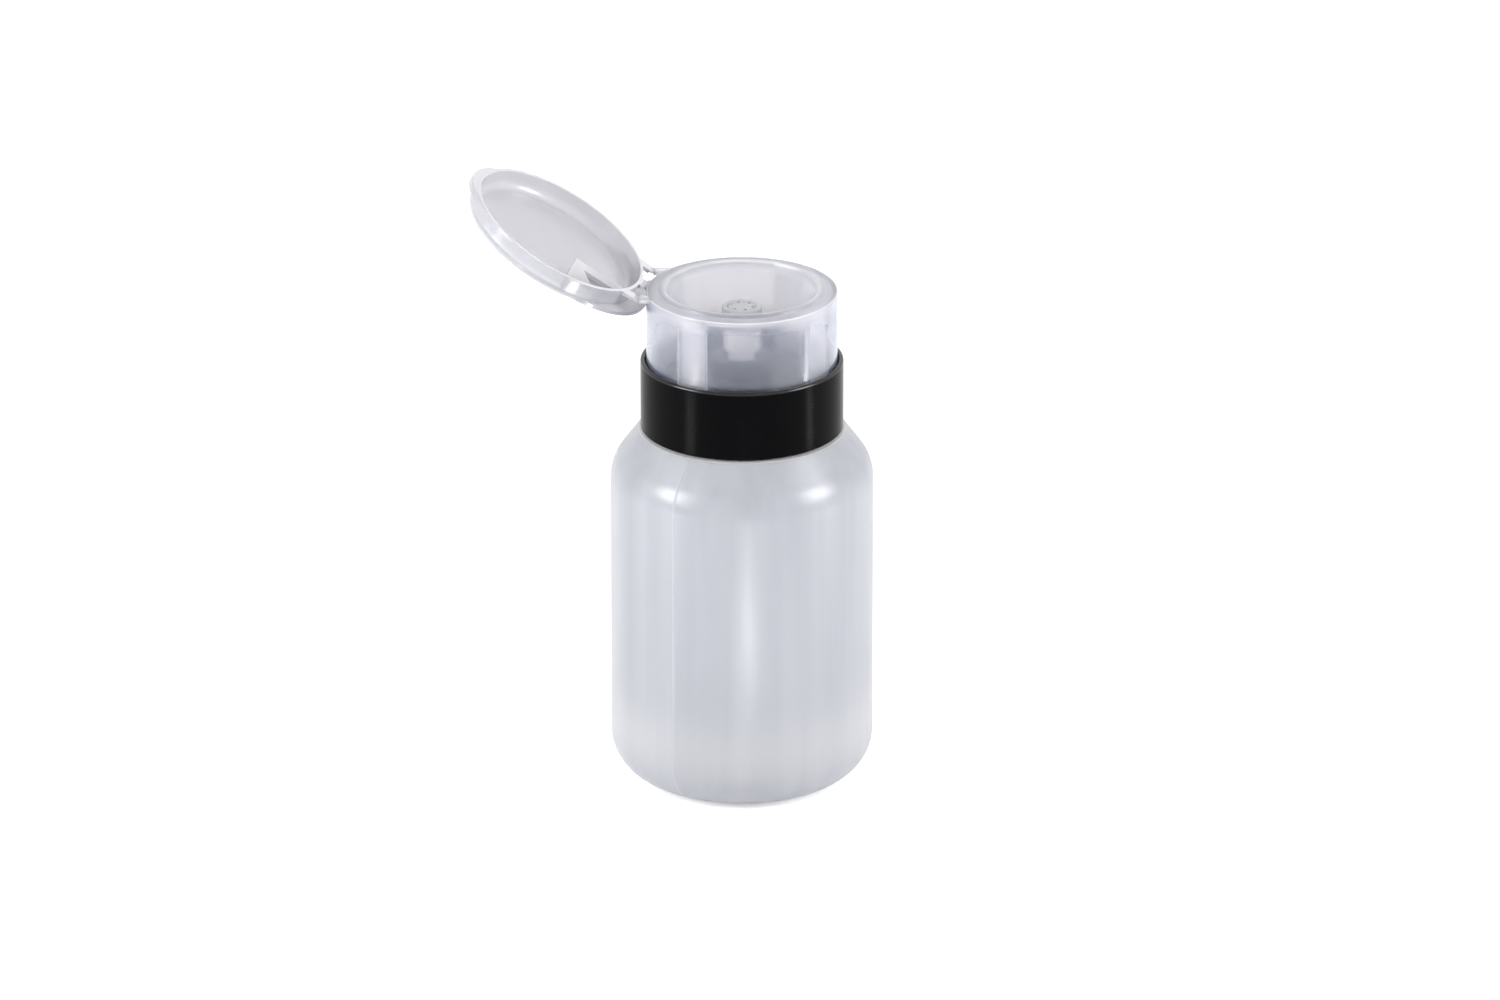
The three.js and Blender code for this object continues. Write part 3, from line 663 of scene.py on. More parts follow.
def ear(low, high, bottom, top):
    """An ear that carries a strap: a small plate from the hinge's side of the round wall out to ear_x."""
    y = np.linspace(low, high, 7)
    inner = np.stack([-np.sqrt((skirt_r - ear_sink) ** 2 - y**2), y], axis=1)
    outline = np.concatenate([inner, [[-ear_x, high], [-ear_x, low]]])
    return prism("ear", outline, bottom, top, ear_edge)


dish_ears = [ear(low, high, skirt_top - ear_thick, skirt_top) for low, high in strap_spans]
dish = creased(combined(dish, dish_ears, "UNION"))
report(dish)

# %% [markdown]
# The longer the way through the plastic, the milkier the dish looks. So each of its parts gets a value of
# its own, and where they meet the highest one holds. The skirt fades in towards the top face, the pads and
# the lip are nearly white, and the bowl lies between. Edges that are seen end on, such as the skirt's foot,
# are fully white.

# %% Where the dish is milkier
skirt_milk = 0.12
skirt_fade_from = 15
skirt_fade = 8
near_top_milk = 0.15
near_top_fade = 3.5
top_milk = 0.42
top_fade = 0.6
lip_milk = 0.72
lip_band = 0.35
bowl_milk = 0.4
boss_milk = 0.8
pad_milk = 0.95
pad_milk_drop = 0.5
edge_band = 0.3


def dish_milk(points):
    """How milky the dish looks: most at its edges, pads and boss, less in the top face and the bowl, and
    least in the skirt."""
    r = np.hypot(points[:, 0], points[:, 1])
    z = points[:, 2]
    depth = skirt_inner - r
    skirt = skirt_milk * smoothstep((z - underside + skirt_fade_from) / skirt_fade)
    skirt = skirt + near_top_milk * smoothstep((z - underside + near_top_fade) / near_top_fade)
    top = top_milk * smoothstep((z - underside + top_fade) / top_fade)
    rim = np.hypot(r - skirt_r, z - skirt_top) < edge_band
    lip = lip_milk * ((np.abs(r - bowl_r) < lip_band) & (z > lip_top - lip_band))
    from_bowl = np.hypot(r, z - bowl_middle) - bowl_sphere - bowl_wall / 2
    bowl = bowl_milk * (np.abs(from_bowl) < bowl_wall / 2 + touch) * (r < bowl_r + margin)
    boss = boss_milk * (r < seat_r + touch)
    below = (z < underside - pad_milk_drop) & (r > bowl_r)
    pad = pad_milk * smoothstep((depth - touch) / edge_band) * below
    pad_side = ((depth > touch) & (depth < pad_depth - touch)) * below
    foot = z < skirt_bottom + edge_band
    return np.max([skirt, top, rim, lip, bowl, boss, pad, pad_side, foot], axis=0)


milk = dish_milk(places_of(dish))
milked(dish, milk)
print(f"the dish's milk goes from {milk.min():.2f} to {milk.max():.2f}")

# %% [markdown]
# ## The lid
# The lid is a shallow clear cup. It is drawn shut, about its own middle with its rim at height 0, and then
# turned open about the hinge. A thumb tab stands out from the rim at the front, and an eave at the back
# comes to rest on the skirt when the lid is open. Both are crescents: the part of a larger round disc that
# shows outside the cup. A disc could be joined on, but the grid's own wall, pushed out to the crescent's
# edge, keeps its shading smooth.

# %% The lid's sizes
lid_height = 5.8
lid_wall = 1.4
lid_plate = 1.2
lid_crown = 0.4
lid_corner = 2.2
lid_fillet = 2.5
lid_draft = 0.5
lid_gap = 0.3
tab_reach = 1.9
tab_half_width = 10.6
tab_thick = 1.9
tab_edge = 0.18
eave_half_width = 19.0
eave_thick = 1.1
eave_play = 0.3
eave_edge = 0.1
hinge_r = 24.34
hinge_open = math.radians(148.8)

lid_inner = skirt_r - lid_wall
lid_floor = lid_height - lid_plate
rim_inner = lid_inner + lid_draft
hinge_z = skirt_top + lid_gap / 2
eave_high = lid_height - lid_plate / 4
eave_low = eave_high - eave_thick
eave_climb = (lid_gap / 2 + eave_low) * math.sin(hinge_open)
eave_reach = hinge_r - skirt_r + (hinge_r - skirt_r - eave_play + eave_climb) / -math.cos(hinge_open)
print(f"the eave stands out {eave_reach:.2f} mm, so that it meets the skirt when the lid is open")

# %% The lid's cup
def crescent(angle, tip, half_width):
    """How far a crescent's edge lies from the lid's middle at an angle from its tip.

    It is an arc through the tip and the two points of the lid's circle half_width off the middle line. With
    its centre c out and its radius q, the edge is at c cos a + sqrt(q^2 - c^2 sin^2 a).
    """
    rim_x = math.sqrt(skirt_r**2 - half_width**2)
    tip_x = skirt_r + tip
    centre = (tip_x**2 - rim_x**2 - half_width**2) / (2 * (tip_x - rim_x))
    q = tip_x - centre
    return centre * np.cos(angle) + np.sqrt(q**2 - (centre * np.sin(angle)) ** 2)


def crowned(radius, height, steps=16):
    """The crowned plate as corners, from the middle out: height + crown * (1 - (r / radius)^2)^2, which is
    level at its edge, so that it runs into the corner's fillet without a line."""
    r = np.linspace(0, radius, steps + 1)
    return np.c_[r, height + lid_crown * (1 - (r / radius) ** 2) ** 2, np.zeros(steps + 1)]


def lid_shape(r, z, angle):
    """Pushes the outer wall out to the tab near the rim, and to the eave near the top.

    Each ledge's window in height rises and falls over a tenth or two of a millimetre, to round its edges.
    """
    from_back = np.angle(np.exp(1j * (angle - np.pi)))
    outer = np.arange(len(r))[:, None] < lid_outer_rows
    tab = np.clip(crescent(angle, tab_reach, tab_half_width) - skirt_r, 0, None) * (np.cos(angle) > 0)
    near_rim = smoothstep((tab_thick - z) / tab_edge) * (r > skirt_r - margin) * outer
    eave = np.clip(crescent(from_back, eave_reach, eave_half_width) - r, 0, None) * (np.cos(from_back) > 0)
    near_top = smoothstep((z - eave_low + eave_edge / 2) / eave_edge)
    near_top = near_top * smoothstep((eave_high + eave_edge / 2 - z) / eave_edge)
    near_top = near_top * outer * (r > skirt_r - lid_corner)
    return r + tab * near_rim + eave * near_top, z


lid_arc = np.radians(np.linspace(90, 0, 45))
corner_points = np.stack([
    skirt_r - lid_corner + lid_corner * np.cos(lid_arc),
    lid_height - lid_corner + lid_corner * np.sin(lid_arc),
], axis=1)
top_plate = crowned(skirt_r - lid_corner, lid_height)[:-1, :2]
outer_wall = rounded([[skirt_r, lid_height - lid_corner, 0], [skirt_r, 0, 0.35], [rim_inner, 0, 0]], False)
inner_wall = rounded([
    [skirt_r - margin, 0, 0],
    [rim_inner, 0, 0.2],
    [lid_inner, lid_floor, lid_fillet],
    [lid_inner - lid_fillet - margin, lid_floor, 0],
], closed=False, steps=10)
floor_plate = crowned(lid_inner - lid_fillet, lid_floor)[::-1, :2][1:]
wall_rows = held(outer_wall[:-1], closed=False, longest=0.09)
lid_outer = np.concatenate([top_plate, corner_points, wall_rows[1:]])
lid_outer_rows = len(lid_outer)
lid_rows = np.concatenate([lid_outer, held(inner_wall[1:-1], closed=False, longest=1.0), floor_plate])
lid = turned("lid", lid_rows, around(180), closed=False, shape=lid_shape)
report(lid)

# %% The lid's corner pocket and ears
pocket_y = 7.8
pocket_x = 6.9
pocket_wall = 1.1
pocket_web = 1.0
pocket_sink = 0.6
pocket_edge = 0.15
window_y = 11.6
window_near = 9.9
window_far = 13.6
overrun = 1.0
web_top = lip_height + pocket_web


def corner(chord, end, radius, far=None):
    """The corner of a disc left of x = -end and below y = -chord, as points: the chord, then the rim's arc
    back. far gives another x at which the arc stops."""
    start = math.atan2(-chord, -math.sqrt(radius**2 - chord**2))
    stop_x = end if far is None else far
    stop = math.atan2(-math.sqrt(radius**2 - stop_x**2), -stop_x)
    angle = np.linspace(start, stop, 25)
    arc = radius * np.stack([np.cos(angle), np.sin(angle)], axis=1)
    return np.concatenate([[[-end, -chord]], arc])


pocket_outline = corner(pocket_y, pocket_x, skirt_r - lid_wall / 2)
room_outline = corner(pocket_y + pocket_wall, pocket_x + pocket_wall, lid_inner)
window_outline = corner(window_y, window_near, lid_inner, far=window_far)
pocket = prism("pocket", pocket_outline, lip_height, lid_floor + pocket_sink, pocket_edge)
room = prism("room", room_outline, web_top, lid_floor)
window = prism("window", window_outline, lip_height - overrun, web_top + overrun)
pocket = combined(pocket, [room, window], "DIFFERENCE")
lid_ears = [ear(low, high, 0, ear_thick) for low, high in strap_spans]
lid = combined(lid, [pocket, *lid_ears], "UNION")
report(lid)

# %% Where the lid is milkier
ledge_milk = 0.3
corner_milk = 0.35
rim_band = 0.25
rim_fade = 0.2


def lid_milk(points):
    """How milky the lid looks, in its shut place: most at its rim and pocket, less at its tab, eave and
    wall, and least in its plate."""
    x, y, z = points.T
    r = np.hypot(x, y)
    edge = smoothstep((rim_band - z) / rim_fade)
    ledges = ledge_milk * smoothstep((r - skirt_r - touch) / edge_band)
    side = corner_milk * smoothstep((r - lid_inner + 2 * lid_fillet) / (2 * lid_fillet))
    in_corner = (y < -pocket_y + touch / 2) & (x < -pocket_x + touch / 2)
    in_corner = in_corner & (r < lid_inner - touch) & (z < lid_floor - touch)
    return np.max([edge, ledges, side, in_corner], axis=0)


milk = lid_milk(places_of(lid))
milked(lid, milk)
print(f"the lid's milk goes from {milk.min():.2f} to {milk.max():.2f}")

# %% The lid, turned open
def opened(points, turn):
    """Lid points carried from their own middle to the hinge and turned back about it: with x and z taken
    from the hinge, x' = x cos t - z sin t and z' = x sin t + z cos t."""
    x = points[:, 0] + hinge_r
    z = points[:, 2] + lid_gap / 2
    return np.stack([
        x * math.cos(turn) - z * math.sin(turn) - hinge_r,
        points[:, 1],
        x * math.sin(turn) + z * math.cos(turn) + hinge_z,
    ], axis=1)


lid_points = opened(places_of(lid), hinge_open) * MM
lid.data.vertices.foreach_set("co", lid_points.astype(np.float32).ravel())
lid.data.update()
creased(lid)
report(lid)

# %% [markdown]
# ## The living hinge
# Three straps of the same plastic join the ears of the dish to those of the lid. Each is thick in the ears
# and thin in between, where it bends. A rigid film would come away from one ear when the lid moves.

# %% The hinge's curve
strap_reach = 0.75
strap_sink = 0.45
strap_drop = lid_gap / 2 + strap_sink
strap_lead = 0.75
strap_lift = 0.12
strap_thin = 0.3
strap_thick = 0.85
strap_milk = 0.7
hinge = np.array([-hinge_r, hinge_z])


def swung(x, z):
    """A point of the open lid in the plane of X and Z, from its place in the shut lid. Both count from the
    hinge."""
    cos, sin = math.cos(hinge_open), math.sin(hinge_open)
    return np.array([x * cos - z * sin, x * sin + z * cos])


def strap_line(t):
    """The middle of a strap at t from 0 in the dish's ear to 1 in the lid's, from the hinge.

    It is the cubic p0 (1-t)^3 + 3 p1 t (1-t)^2 + 3 p2 t^2 (1-t) + p3 t^3. Its ends lie in the two ears and
    run along them: in the lid's own place they are the same as in the dish, upside down.
    """
    fixed = np.array([strap_reach, -strap_drop])
    free = swung(strap_reach, strap_drop)
    lead_fixed = np.array([-strap_lead, strap_lift])
    lead_free = swung(-strap_lead, -strap_lift)
    path = fixed * (1 - t) ** 3 + 3 * (fixed + lead_fixed) * t * (1 - t) ** 2
    return path + 3 * (free + lead_free) * t**2 * (1 - t) + free * t**3


strap_ends = strap_line(np.array([[0.0], [1.0]])) + hinge
print("the straps end at", np.round(strap_ends, 2).tolist())

# %% The hinge's straps
strap_edge = 0.06
strap_inset = 0.3
strap_squeeze = 0.88


def strap(name, low, high):
    """One strap, from y = low to y = high, as rings about its middle line.

    Its thickness is thin + (thick - thin) (2t - 1)^4. The outermost rings are squeezed towards the line,
    which rounds the strap's sides, and the two ends of the grid are closed like a ladder.
    """
    t = np.linspace(0, 1, 33)[:, None]
    path = strap_line(t)
    along = np.gradient(path, axis=0)
    along = along / np.linalg.norm(along, axis=1, keepdims=True)
    across = np.stack([-along[:, 1], along[:, 0]], axis=1)
    half = 0.5 * (strap_thin + (strap_thick - strap_thin) * (2 * t - 1) ** 4)
    side = np.concatenate([path + across * half, (path - across * half)[::-1]]) + hinge
    middle = np.concatenate([path, path[::-1]]) + hinge
    y = [low, low + strap_edge, low + strap_inset, high - strap_inset, high - strap_edge, high]
    shares = [strap_squeeze, 1, 1, 1, 1, strap_squeeze]
    rings = [middle + (side - middle) * share for share in shares]
    count = len(side)
    points = [np.c_[ring[:, 0], np.full(count, at), ring[:, 1]] for ring, at in zip(rings, y)]
    points = np.concatenate(points)
    numbers = np.arange(len(points)).reshape(len(y), count)
    quads = grid_faces(numbers, wrap_rows=False)[0]
    ladder = np.arange(count // 2 - 1)
    cap = np.stack([ladder, ladder + 1, count - 2 - ladder, count - 1 - ladder], axis=1)
    caps = np.concatenate([cap[:, ::-1], cap + numbers[-1, 0]])
    return milked(creased(solid(name, points, [quads, caps]), 40), strap_milk)


strap_names = ["strap_front", "strap_middle", "strap_back"]
straps = [strap(name, low, high) for name, (low, high) in zip(strap_names, strap_spans)]
for piece in straps:
    report(piece)

# %% [markdown]
# ## The pump
# The pump hangs in the neck. Its white housing has a flange that the collar clamps, a cylinder, a chamber
# for the foot valve's ball, and a socket for the dip tube. A piston on a hollow stem slides in the cylinder
# over a steel spring. The mouldings are all turned. A Screw modifier could turn their outlines too, but its
# seam would have to be closed afterwards, so they come from the same grid as the bottle.

# %% Housing
flange_r, socket_low, flange_top = span("pump_housing")
flange_thick = 1.2
bore = 5.25
cylinder_wall = 1.15
cylinder_length = 28.0
chamber_r = 2.5
valve_bore = 1.2
chamber_length = 4.4
valve_length = 1.5
tube_r = 2.5
tube_play = 0.1
socket_wall = 1.3

flange_bottom = flange_top - flange_thick
cylinder_r = bore + cylinder_wall
cylinder_low = flange_top - cylinder_length
chamber_outer = chamber_r + cylinder_wall
valve_seat = cylinder_low - chamber_length
tube_stop = valve_seat - valve_length
socket_r = tube_r + socket_wall
housing = moulding("housing", [
    [bore, flange_top, 0.3],
    [flange_r, flange_top, 0.3],
    [flange_r, flange_bottom, 0.2],
    [cylinder_r, flange_bottom, 0.4],
    [cylinder_r, cylinder_low - cylinder_wall, 0.8],
    [chamber_outer, cylinder_low - 2 * cylinder_wall, 0.6],
    [chamber_outer, tube_stop, 0.1],
    [socket_r, tube_stop, 0.1],
    [socket_r, socket_low, 0.3],
    [tube_r + tube_play, socket_low, 0.2],
    [tube_r + tube_play, tube_stop, 0.1],
    [valve_bore, tube_stop, 0.15],
    [valve_bore, valve_seat, 0.1],
    [chamber_r, valve_seat + chamber_r - valve_bore, 0.2],
    [chamber_r, cylinder_low, 0.1],
    [bore, cylinder_low, 0.2],
])

# %% Bushing, piston and stem
stem_r = 3.3
stem_bore = 1.3
stem_play = 0.15
piston_play = 0.05
piston_lip = 0.6
piston_waist = 0.3
waist_in = 1.2

bushing_r, bushing_low, bushing_high = span("retainer_bushing")
bushing = moulding("bushing", [
    [stem_r + stem_play, bushing_low, 0.25],
    [bushing_r, bushing_low, 0.3],
    [bushing_r, bushing_high, 0.2],
    [stem_r + stem_play, bushing_high, 0.35],
])

piston_r, piston_low, piston_high = span("piston")
piston = moulding("piston_ring", [
    [stem_r + piston_play, piston_low, 0.1],
    [piston_r - piston_lip, piston_low, 0.1],
    [piston_r, piston_low + piston_lip, 0.15],
    [piston_r - piston_waist, piston_low + waist_in, 0.3],
    [piston_r - piston_waist, piston_high - waist_in, 0.3],
    [piston_r, piston_high - piston_lip, 0.15],
    [piston_r - piston_lip, piston_high, 0.1],
    [stem_r + piston_play, piston_high, 0.1],
])

_, stem_low, stem_high = span("pump_stem")
stem = moulding("stem", [
    [stem_bore, stem_low, 0.15],
    [stem_r, stem_low, 0.25],
    [stem_r, stem_high, 0.3],
    [stem_bore, stem_high, 0.2],
])

# %% Head
head_r, head_low, head_high = span("stem_head")
head_play = 0.1
spigot_play = 0.15
head_chamfer = 0.5
head_chamfer_rise = 0.7
socket_depth = 3.3
valve_land = 0.35
ball_chamber_r = 2.4

head_seat = seat_z - head_play
head_floor = head_low + socket_depth
ball_seat = head_floor + valve_bore + valve_land
spigot_r = outlet_bore - spigot_play
head = moulding("head", [
    [stem_r + stem_play, head_low, 0.1],
    [head_r - head_chamfer, head_low, 0.15],
    [head_r, head_low + head_chamfer_rise, 0.3],
    [head_r, head_seat, 0.25],
    [spigot_r, head_seat, 0.2],
    [spigot_r, head_high, 0.2],
    [ball_chamber_r, head_high, 0.15],
    [ball_chamber_r, ball_seat + ball_chamber_r - valve_bore, 0.1],
    [valve_bore, ball_seat, 0.1],
    [valve_bore, head_floor, 0.1],
    [stem_r + stem_play, head_floor, 0.15],
])

# %% Outlet
outlet_r, outlet_low, outlet_high = span("outlet_cap")
outlet_pin_r = 0.7
outlet_plate = 0.9
outlet_skirt = 1.7
outlet_wall = 0.4
outlet_milk = 0.75
hole_count = 6
hole_start = 59
hole_circle = 2.7
hole_r = 0.45

plate_low = outlet_high - outlet_plate
skirt_low = outlet_high - outlet_skirt
outlet = moulding("outlet", [
    [0, outlet_low, 0],
    [outlet_pin_r, outlet_low, 0.15],
    [outlet_pin_r, plate_low, 0.1],
    [outlet_r - outlet_wall, plate_low, 0.1],
    [outlet_r - outlet_wall, skirt_low, 0.08],
    [outlet_r, skirt_low, 0.1],
    [outlet_r, outlet_high, 0.25],
    [0, outlet_high, 0],
], closed=False)
ring = around(24)
disc = np.stack([np.cos(ring), np.sin(ring)], axis=1) * hole_r
holes = []
for k in range(hole_count):
    a = math.radians(hole_start + 360 / hole_count * k)
    place = hole_circle * np.array([math.cos(a), math.sin(a)])
    holes.append(prism("hole", disc + place, plate_low - overrun / 2, outlet_high + overrun / 2))
outlet = milked(creased(combined(outlet, holes, "DIFFERENCE")), outlet_milk)
report(outlet)

# %% Ball cage and washer
cage_bore = 1.5
slot_count = 3
slot_near = 0.75
slot_far = 3.4
slot_half = 0.45
washer_play = 0.5

cage_r, cage_low, cage_high = span("ball_cage")
cage = moulding("cage", [
    [cage_bore, cage_low, 0.1],
    [cage_r, cage_low, 0.12],
    [cage_r, cage_high, 0.12],
    [cage_bore, cage_high, 0.15],
])
slot = np.array([
    [slot_near, -slot_half],
    [slot_far, -slot_half],
    [slot_far, slot_half],
    [slot_near, slot_half],
])
slots = []
for k in range(slot_count):
    a = math.radians(360 / slot_count * k)
    spun = slot @ np.array([[math.cos(a), math.sin(a)], [-math.sin(a), math.cos(a)]])
    slots.append(prism("slot", spun, cage_low - overrun / 2, cage_high + overrun / 2))
cage = creased(combined(cage, slots, "DIFFERENCE"))
report(cage)

washer_r, washer_low, washer_high = span("neck_gasket")
washer_bore = cylinder_r + washer_play
washer = moulding("washer", [
    [washer_bore, washer_low, 0.25],
    [washer_r, washer_low, 0.25],
    [washer_r, washer_high, 0.25],
    [washer_bore, washer_high, 0.25],
], columns=120)

# %% [markdown]
# ## Dip tube, spring and balls
# The dip tube is extruded and cut off slanted, so that it can't seal itself against the base. Its lower
# rows are lifted by the slant. The spring is a round wire along a helix whose end coils lie close together,
# as on a real one. A bevelled curve could be the wire too, but a grid of rings is a finished mesh at once,
# with both ends closed. The balls are grids of angles round and from pole to pole.

# %% Dip tube
_, tube_low, tube_high = span("dip_tube")
tube_bore = 1.7
tube_slope = math.tan(math.radians(40))
slant_share = 0.2


def tube_shape(r, z, angle):
    """Lifts the foot to the slanted cut, by (x + tube radius) * slope, and eases the rows above it."""
    cut = (r * np.cos(angle) + tube_r) * tube_slope
    share = np.clip((tube_high - z) / (tube_high - tube_low), 0, 1)
    return r, z + cut * smoothstep((share - (1 - slant_share)) / slant_share)


tube = moulding("tube", [
    [tube_bore, tube_low, 0.08],
    [tube_r, tube_low, 0.08],
    [tube_r, tube_high, 0.15],
    [tube_bore, tube_high, 0.15],
], columns=48, longest=2.0, shape=tube_shape)

# %% Spring
spring_play = 0.05
spring_r = 3.9
wire_r = 0.4
spring_turns = 7.5
dead_turns = 0.95
dead_gap = 0.06
spring_low = cage_high + spring_play
spring_high = piston_low - spring_play


def spring_path(t):
    """The wire's centre line at t from 0 to 1, a helix with two rates of climb. An end coil climbs by little
    more than a wire's width in its turn, so that it nearly touches the next. The rest share the height."""
    dead = dead_turns / spring_turns
    climb = dead_turns * (2 * wire_r + dead_gap)
    low, high = spring_low + wire_r, spring_high - wire_r
    z = np.interp(t, [0, dead, 1 - dead, 1], [low, low + climb, high - climb, high])
    angle = 2 * np.pi * spring_turns * t
    return np.stack([spring_r * np.cos(angle), spring_r * np.sin(angle), z], axis=-1)


def wire_grid(path, radius, sides):
    """A round tube along a path: each ring lies in the plane of the outward normal and the binormal."""
    along = np.gradient(path, axis=0)
    along = along / np.linalg.norm(along, axis=1, keepdims=True)
    outward = path * [1, 1, 0]
    outward = outward - along * np.sum(outward * along, axis=1, keepdims=True)
    outward = (outward / np.linalg.norm(outward, axis=1, keepdims=True))[:, None]
    binormal = np.cross(along, outward[:, 0])[:, None]
    a = (np.arange(sides) * 2 * np.pi / sides)[:, None]
    return path[:, None] + radius * (np.cos(a) * outward + np.sin(a) * binormal)


spring_line = spring_path(np.linspace(0, 1, 361))
rings = wire_grid(spring_line, wire_r, 14)
points = np.concatenate([spring_line[:1], rings.reshape(-1, 3), spring_line[-1:]])
numbers = np.arange(1, 1 + rings.shape[0] * rings.shape[1]).reshape(rings.shape[:2])
numbers = np.concatenate([np.zeros_like(numbers[:1]), numbers, np.full_like(numbers[:1], len(points) - 1)])
spring = solid("spring", points, grid_faces(numbers, wrap_rows=False))
report(spring)

# %% Balls
def steel_ball(name, stands_for, radius):
    """A ball as a grid: r = radius sin p and z = middle - radius cos p, with p from pole to pole."""
    _, low, high = span(stands_for)
    p = np.linspace(0, np.pi, 33)
    outline = np.stack([radius * np.sin(p), (low + high) / 2 - radius * np.cos(p)], axis=1)
    ball = turned(name, outline, around(48), closed=False)
    report(ball)
    return ball


foot_ball = steel_ball("foot_ball", "inlet_ball", 1.9)
head_ball = steel_ball("head_ball", "outlet_ball", 1.8)

# %% [markdown]
# ## Materials
# Colours are written as the sRGB values that a screen shows, and one function turns them into the linear
# values that the shader works with. One more adds a node with its settings and links, and every material is
# built with it: patterns first, then the shader that takes them. A pattern's scale is one over its size in
# metres. Real rubs, pits and the grain of a blasted mould are finer than a pixel of the picture, so they
# are drawn a few tenths of a millimetre wide, as coarse as they need to be to show.

# %% Material helpers
middle_range = (0.3, 0.7)  # most of a noise pattern lies between these
polyethylene_ior = 1.52
polypropylene_ior = 1.49


def colour(code):
    """An sRGB hex colour as linear RGBA: c / 12.92 below 0.04045, and ((c + 0.055) / 1.055)^2.4 above it."""
    values = [int(code[i : i + 2], 16) / 255 for i in (1, 3, 5)]
    linear = [v / 12.92 if v <= 0.04045 else ((v + 0.055) / 1.055) ** 2.4 for v in values]
    return (*linear, 1.0)


def node(tree, kind, inputs=(), **settings):
    """Adds a shader node of a kind. settings are its properties. inputs maps its sockets, or lists the first
    ones in order, each a number, a hex colour, a socket, or a node, whose first output in use is linked."""
    made = tree.nodes.new("ShaderNode" + kind)
    for name, value in settings.items():
        setattr(made, name, value)
    for key, value in inputs.items() if isinstance(inputs, dict) else enumerate(inputs):
        if isinstance(value, bpy.types.Node):
            value = next(output for output in value.outputs if output.enabled)
        if isinstance(value, bpy.types.NodeSocket):
            tree.links.new(value, made.inputs[key])
        else:
            made.inputs[key].default_value = colour(value) if isinstance(value, str) else value
    return made


def material(name):
    """A new material with an empty node tree, and the tree."""
    made = bpy.data.materials.new(name)
    made.use_nodes = True
    made.node_tree.nodes.clear()
    print("material", name)
    return made, made.node_tree


def two_tones(tree, pattern, dark, light):
    """A noise pattern as a colour between two. Most of a noise lies in its middle range, so that range is
    spread over the way from dark to light."""
    share = node(tree, "MapRange", [pattern, *middle_range])
    return node(tree, "Mix", {0: share, 6: dark, 7: light}, data_type="RGBA")


print(f"mid grey on the screen, #808080, is {colour('#808080')[0]:.3f} in the shader")


# %% [markdown]
# ### Natural polyethylene, blown
# Unpigmented polyethylene is cloudy: light goes in, scatters, and comes out soft, so that nothing inside is
# sharp. The mould is sandblasted, which leaves a satin skin, and the soft tube stretches unevenly as it is
# blown, which leaves faint streaks along the bottle. A rough transmission gives the first, a fine bump the
# second, and noise that is drawn out along the axis the third.

# %% Natural polyethylene
def natural_polyethylene(streak=7.0, squeeze=0.04, cloud=22.0, grain=0.35, grain_depth=0.006):
    """Cloudy and satin, with streaks as wide as streak and 1 / squeeze times as long. All sizes in mm."""
    made, tree = material("natural_polyethylene_blown")
    place = node(tree, "TexCoord").outputs["Object"]
    milk = node(tree, "Attribute", attribute_name="milk").outputs["Fac"]
    along = node(tree, "Mapping", {"Vector": place, "Scale": (1, 1, squeeze)})
    streaks = node(tree, "TexNoise", {"Vector": along, "Scale": 1 / (streak * MM), "Detail": 3.0})
    clouds = node(tree, "TexNoise", {"Vector": place, "Scale": 1 / (cloud * MM)})
    grains = node(tree, "TexNoise", {"Vector": place, "Scale": 1 / (grain * MM), "Detail": 1.0})
    body = two_tones(tree, streaks, "#c9cbd3", "#d7d9df")
    shader = node(tree, "BsdfPrincipled", {
        # milk turns the colour white: real whiteness along the seams, plus the painted rim highlight and the
        # painted glow above the foot
        "Base Color": node(tree, "Mix", {0: milk, 6: body, 7: "#ffffff"}, data_type="RGBA"),
        "Roughness": node(tree, "MapRange", [clouds, 0.35, 0.65, 0.285, 0.32]),
        "Normal": node(tree, "Bump", {"Height": grains, "Distance": grain_depth * MM, "Strength": 0.6}),
        "IOR": polyethylene_ior,
        "Transmission Weight": 0.55,
    })
    node(tree, "OutputMaterial", {"Surface": shader})
    return made


natural = natural_polyethylene()

# %% [markdown]
# ### Clarified polypropylene, moulded
# The dish and the lid are moulded from clarified polypropylene in a polished tool: glossy outside, with a
# blue haze where the plastic is thin and a white one where it is thick, as smoke is blue and fog is white.
# Glass with a colour can't do that. So two shaders are mixed: a clear one, and one that scatters, under a
# glossy coat. The second one still lets part of the light on, or the dark deck behind it wouldn't show. Its
# share follows the milk attribute, and grows where the surface is seen edge on and the way through the
# plastic is longest. A slow noise moves the share a little, as flow lines do. The skirt's share stays well
# under a quarter, because near a quarter the denoiser made wavy bands of it.

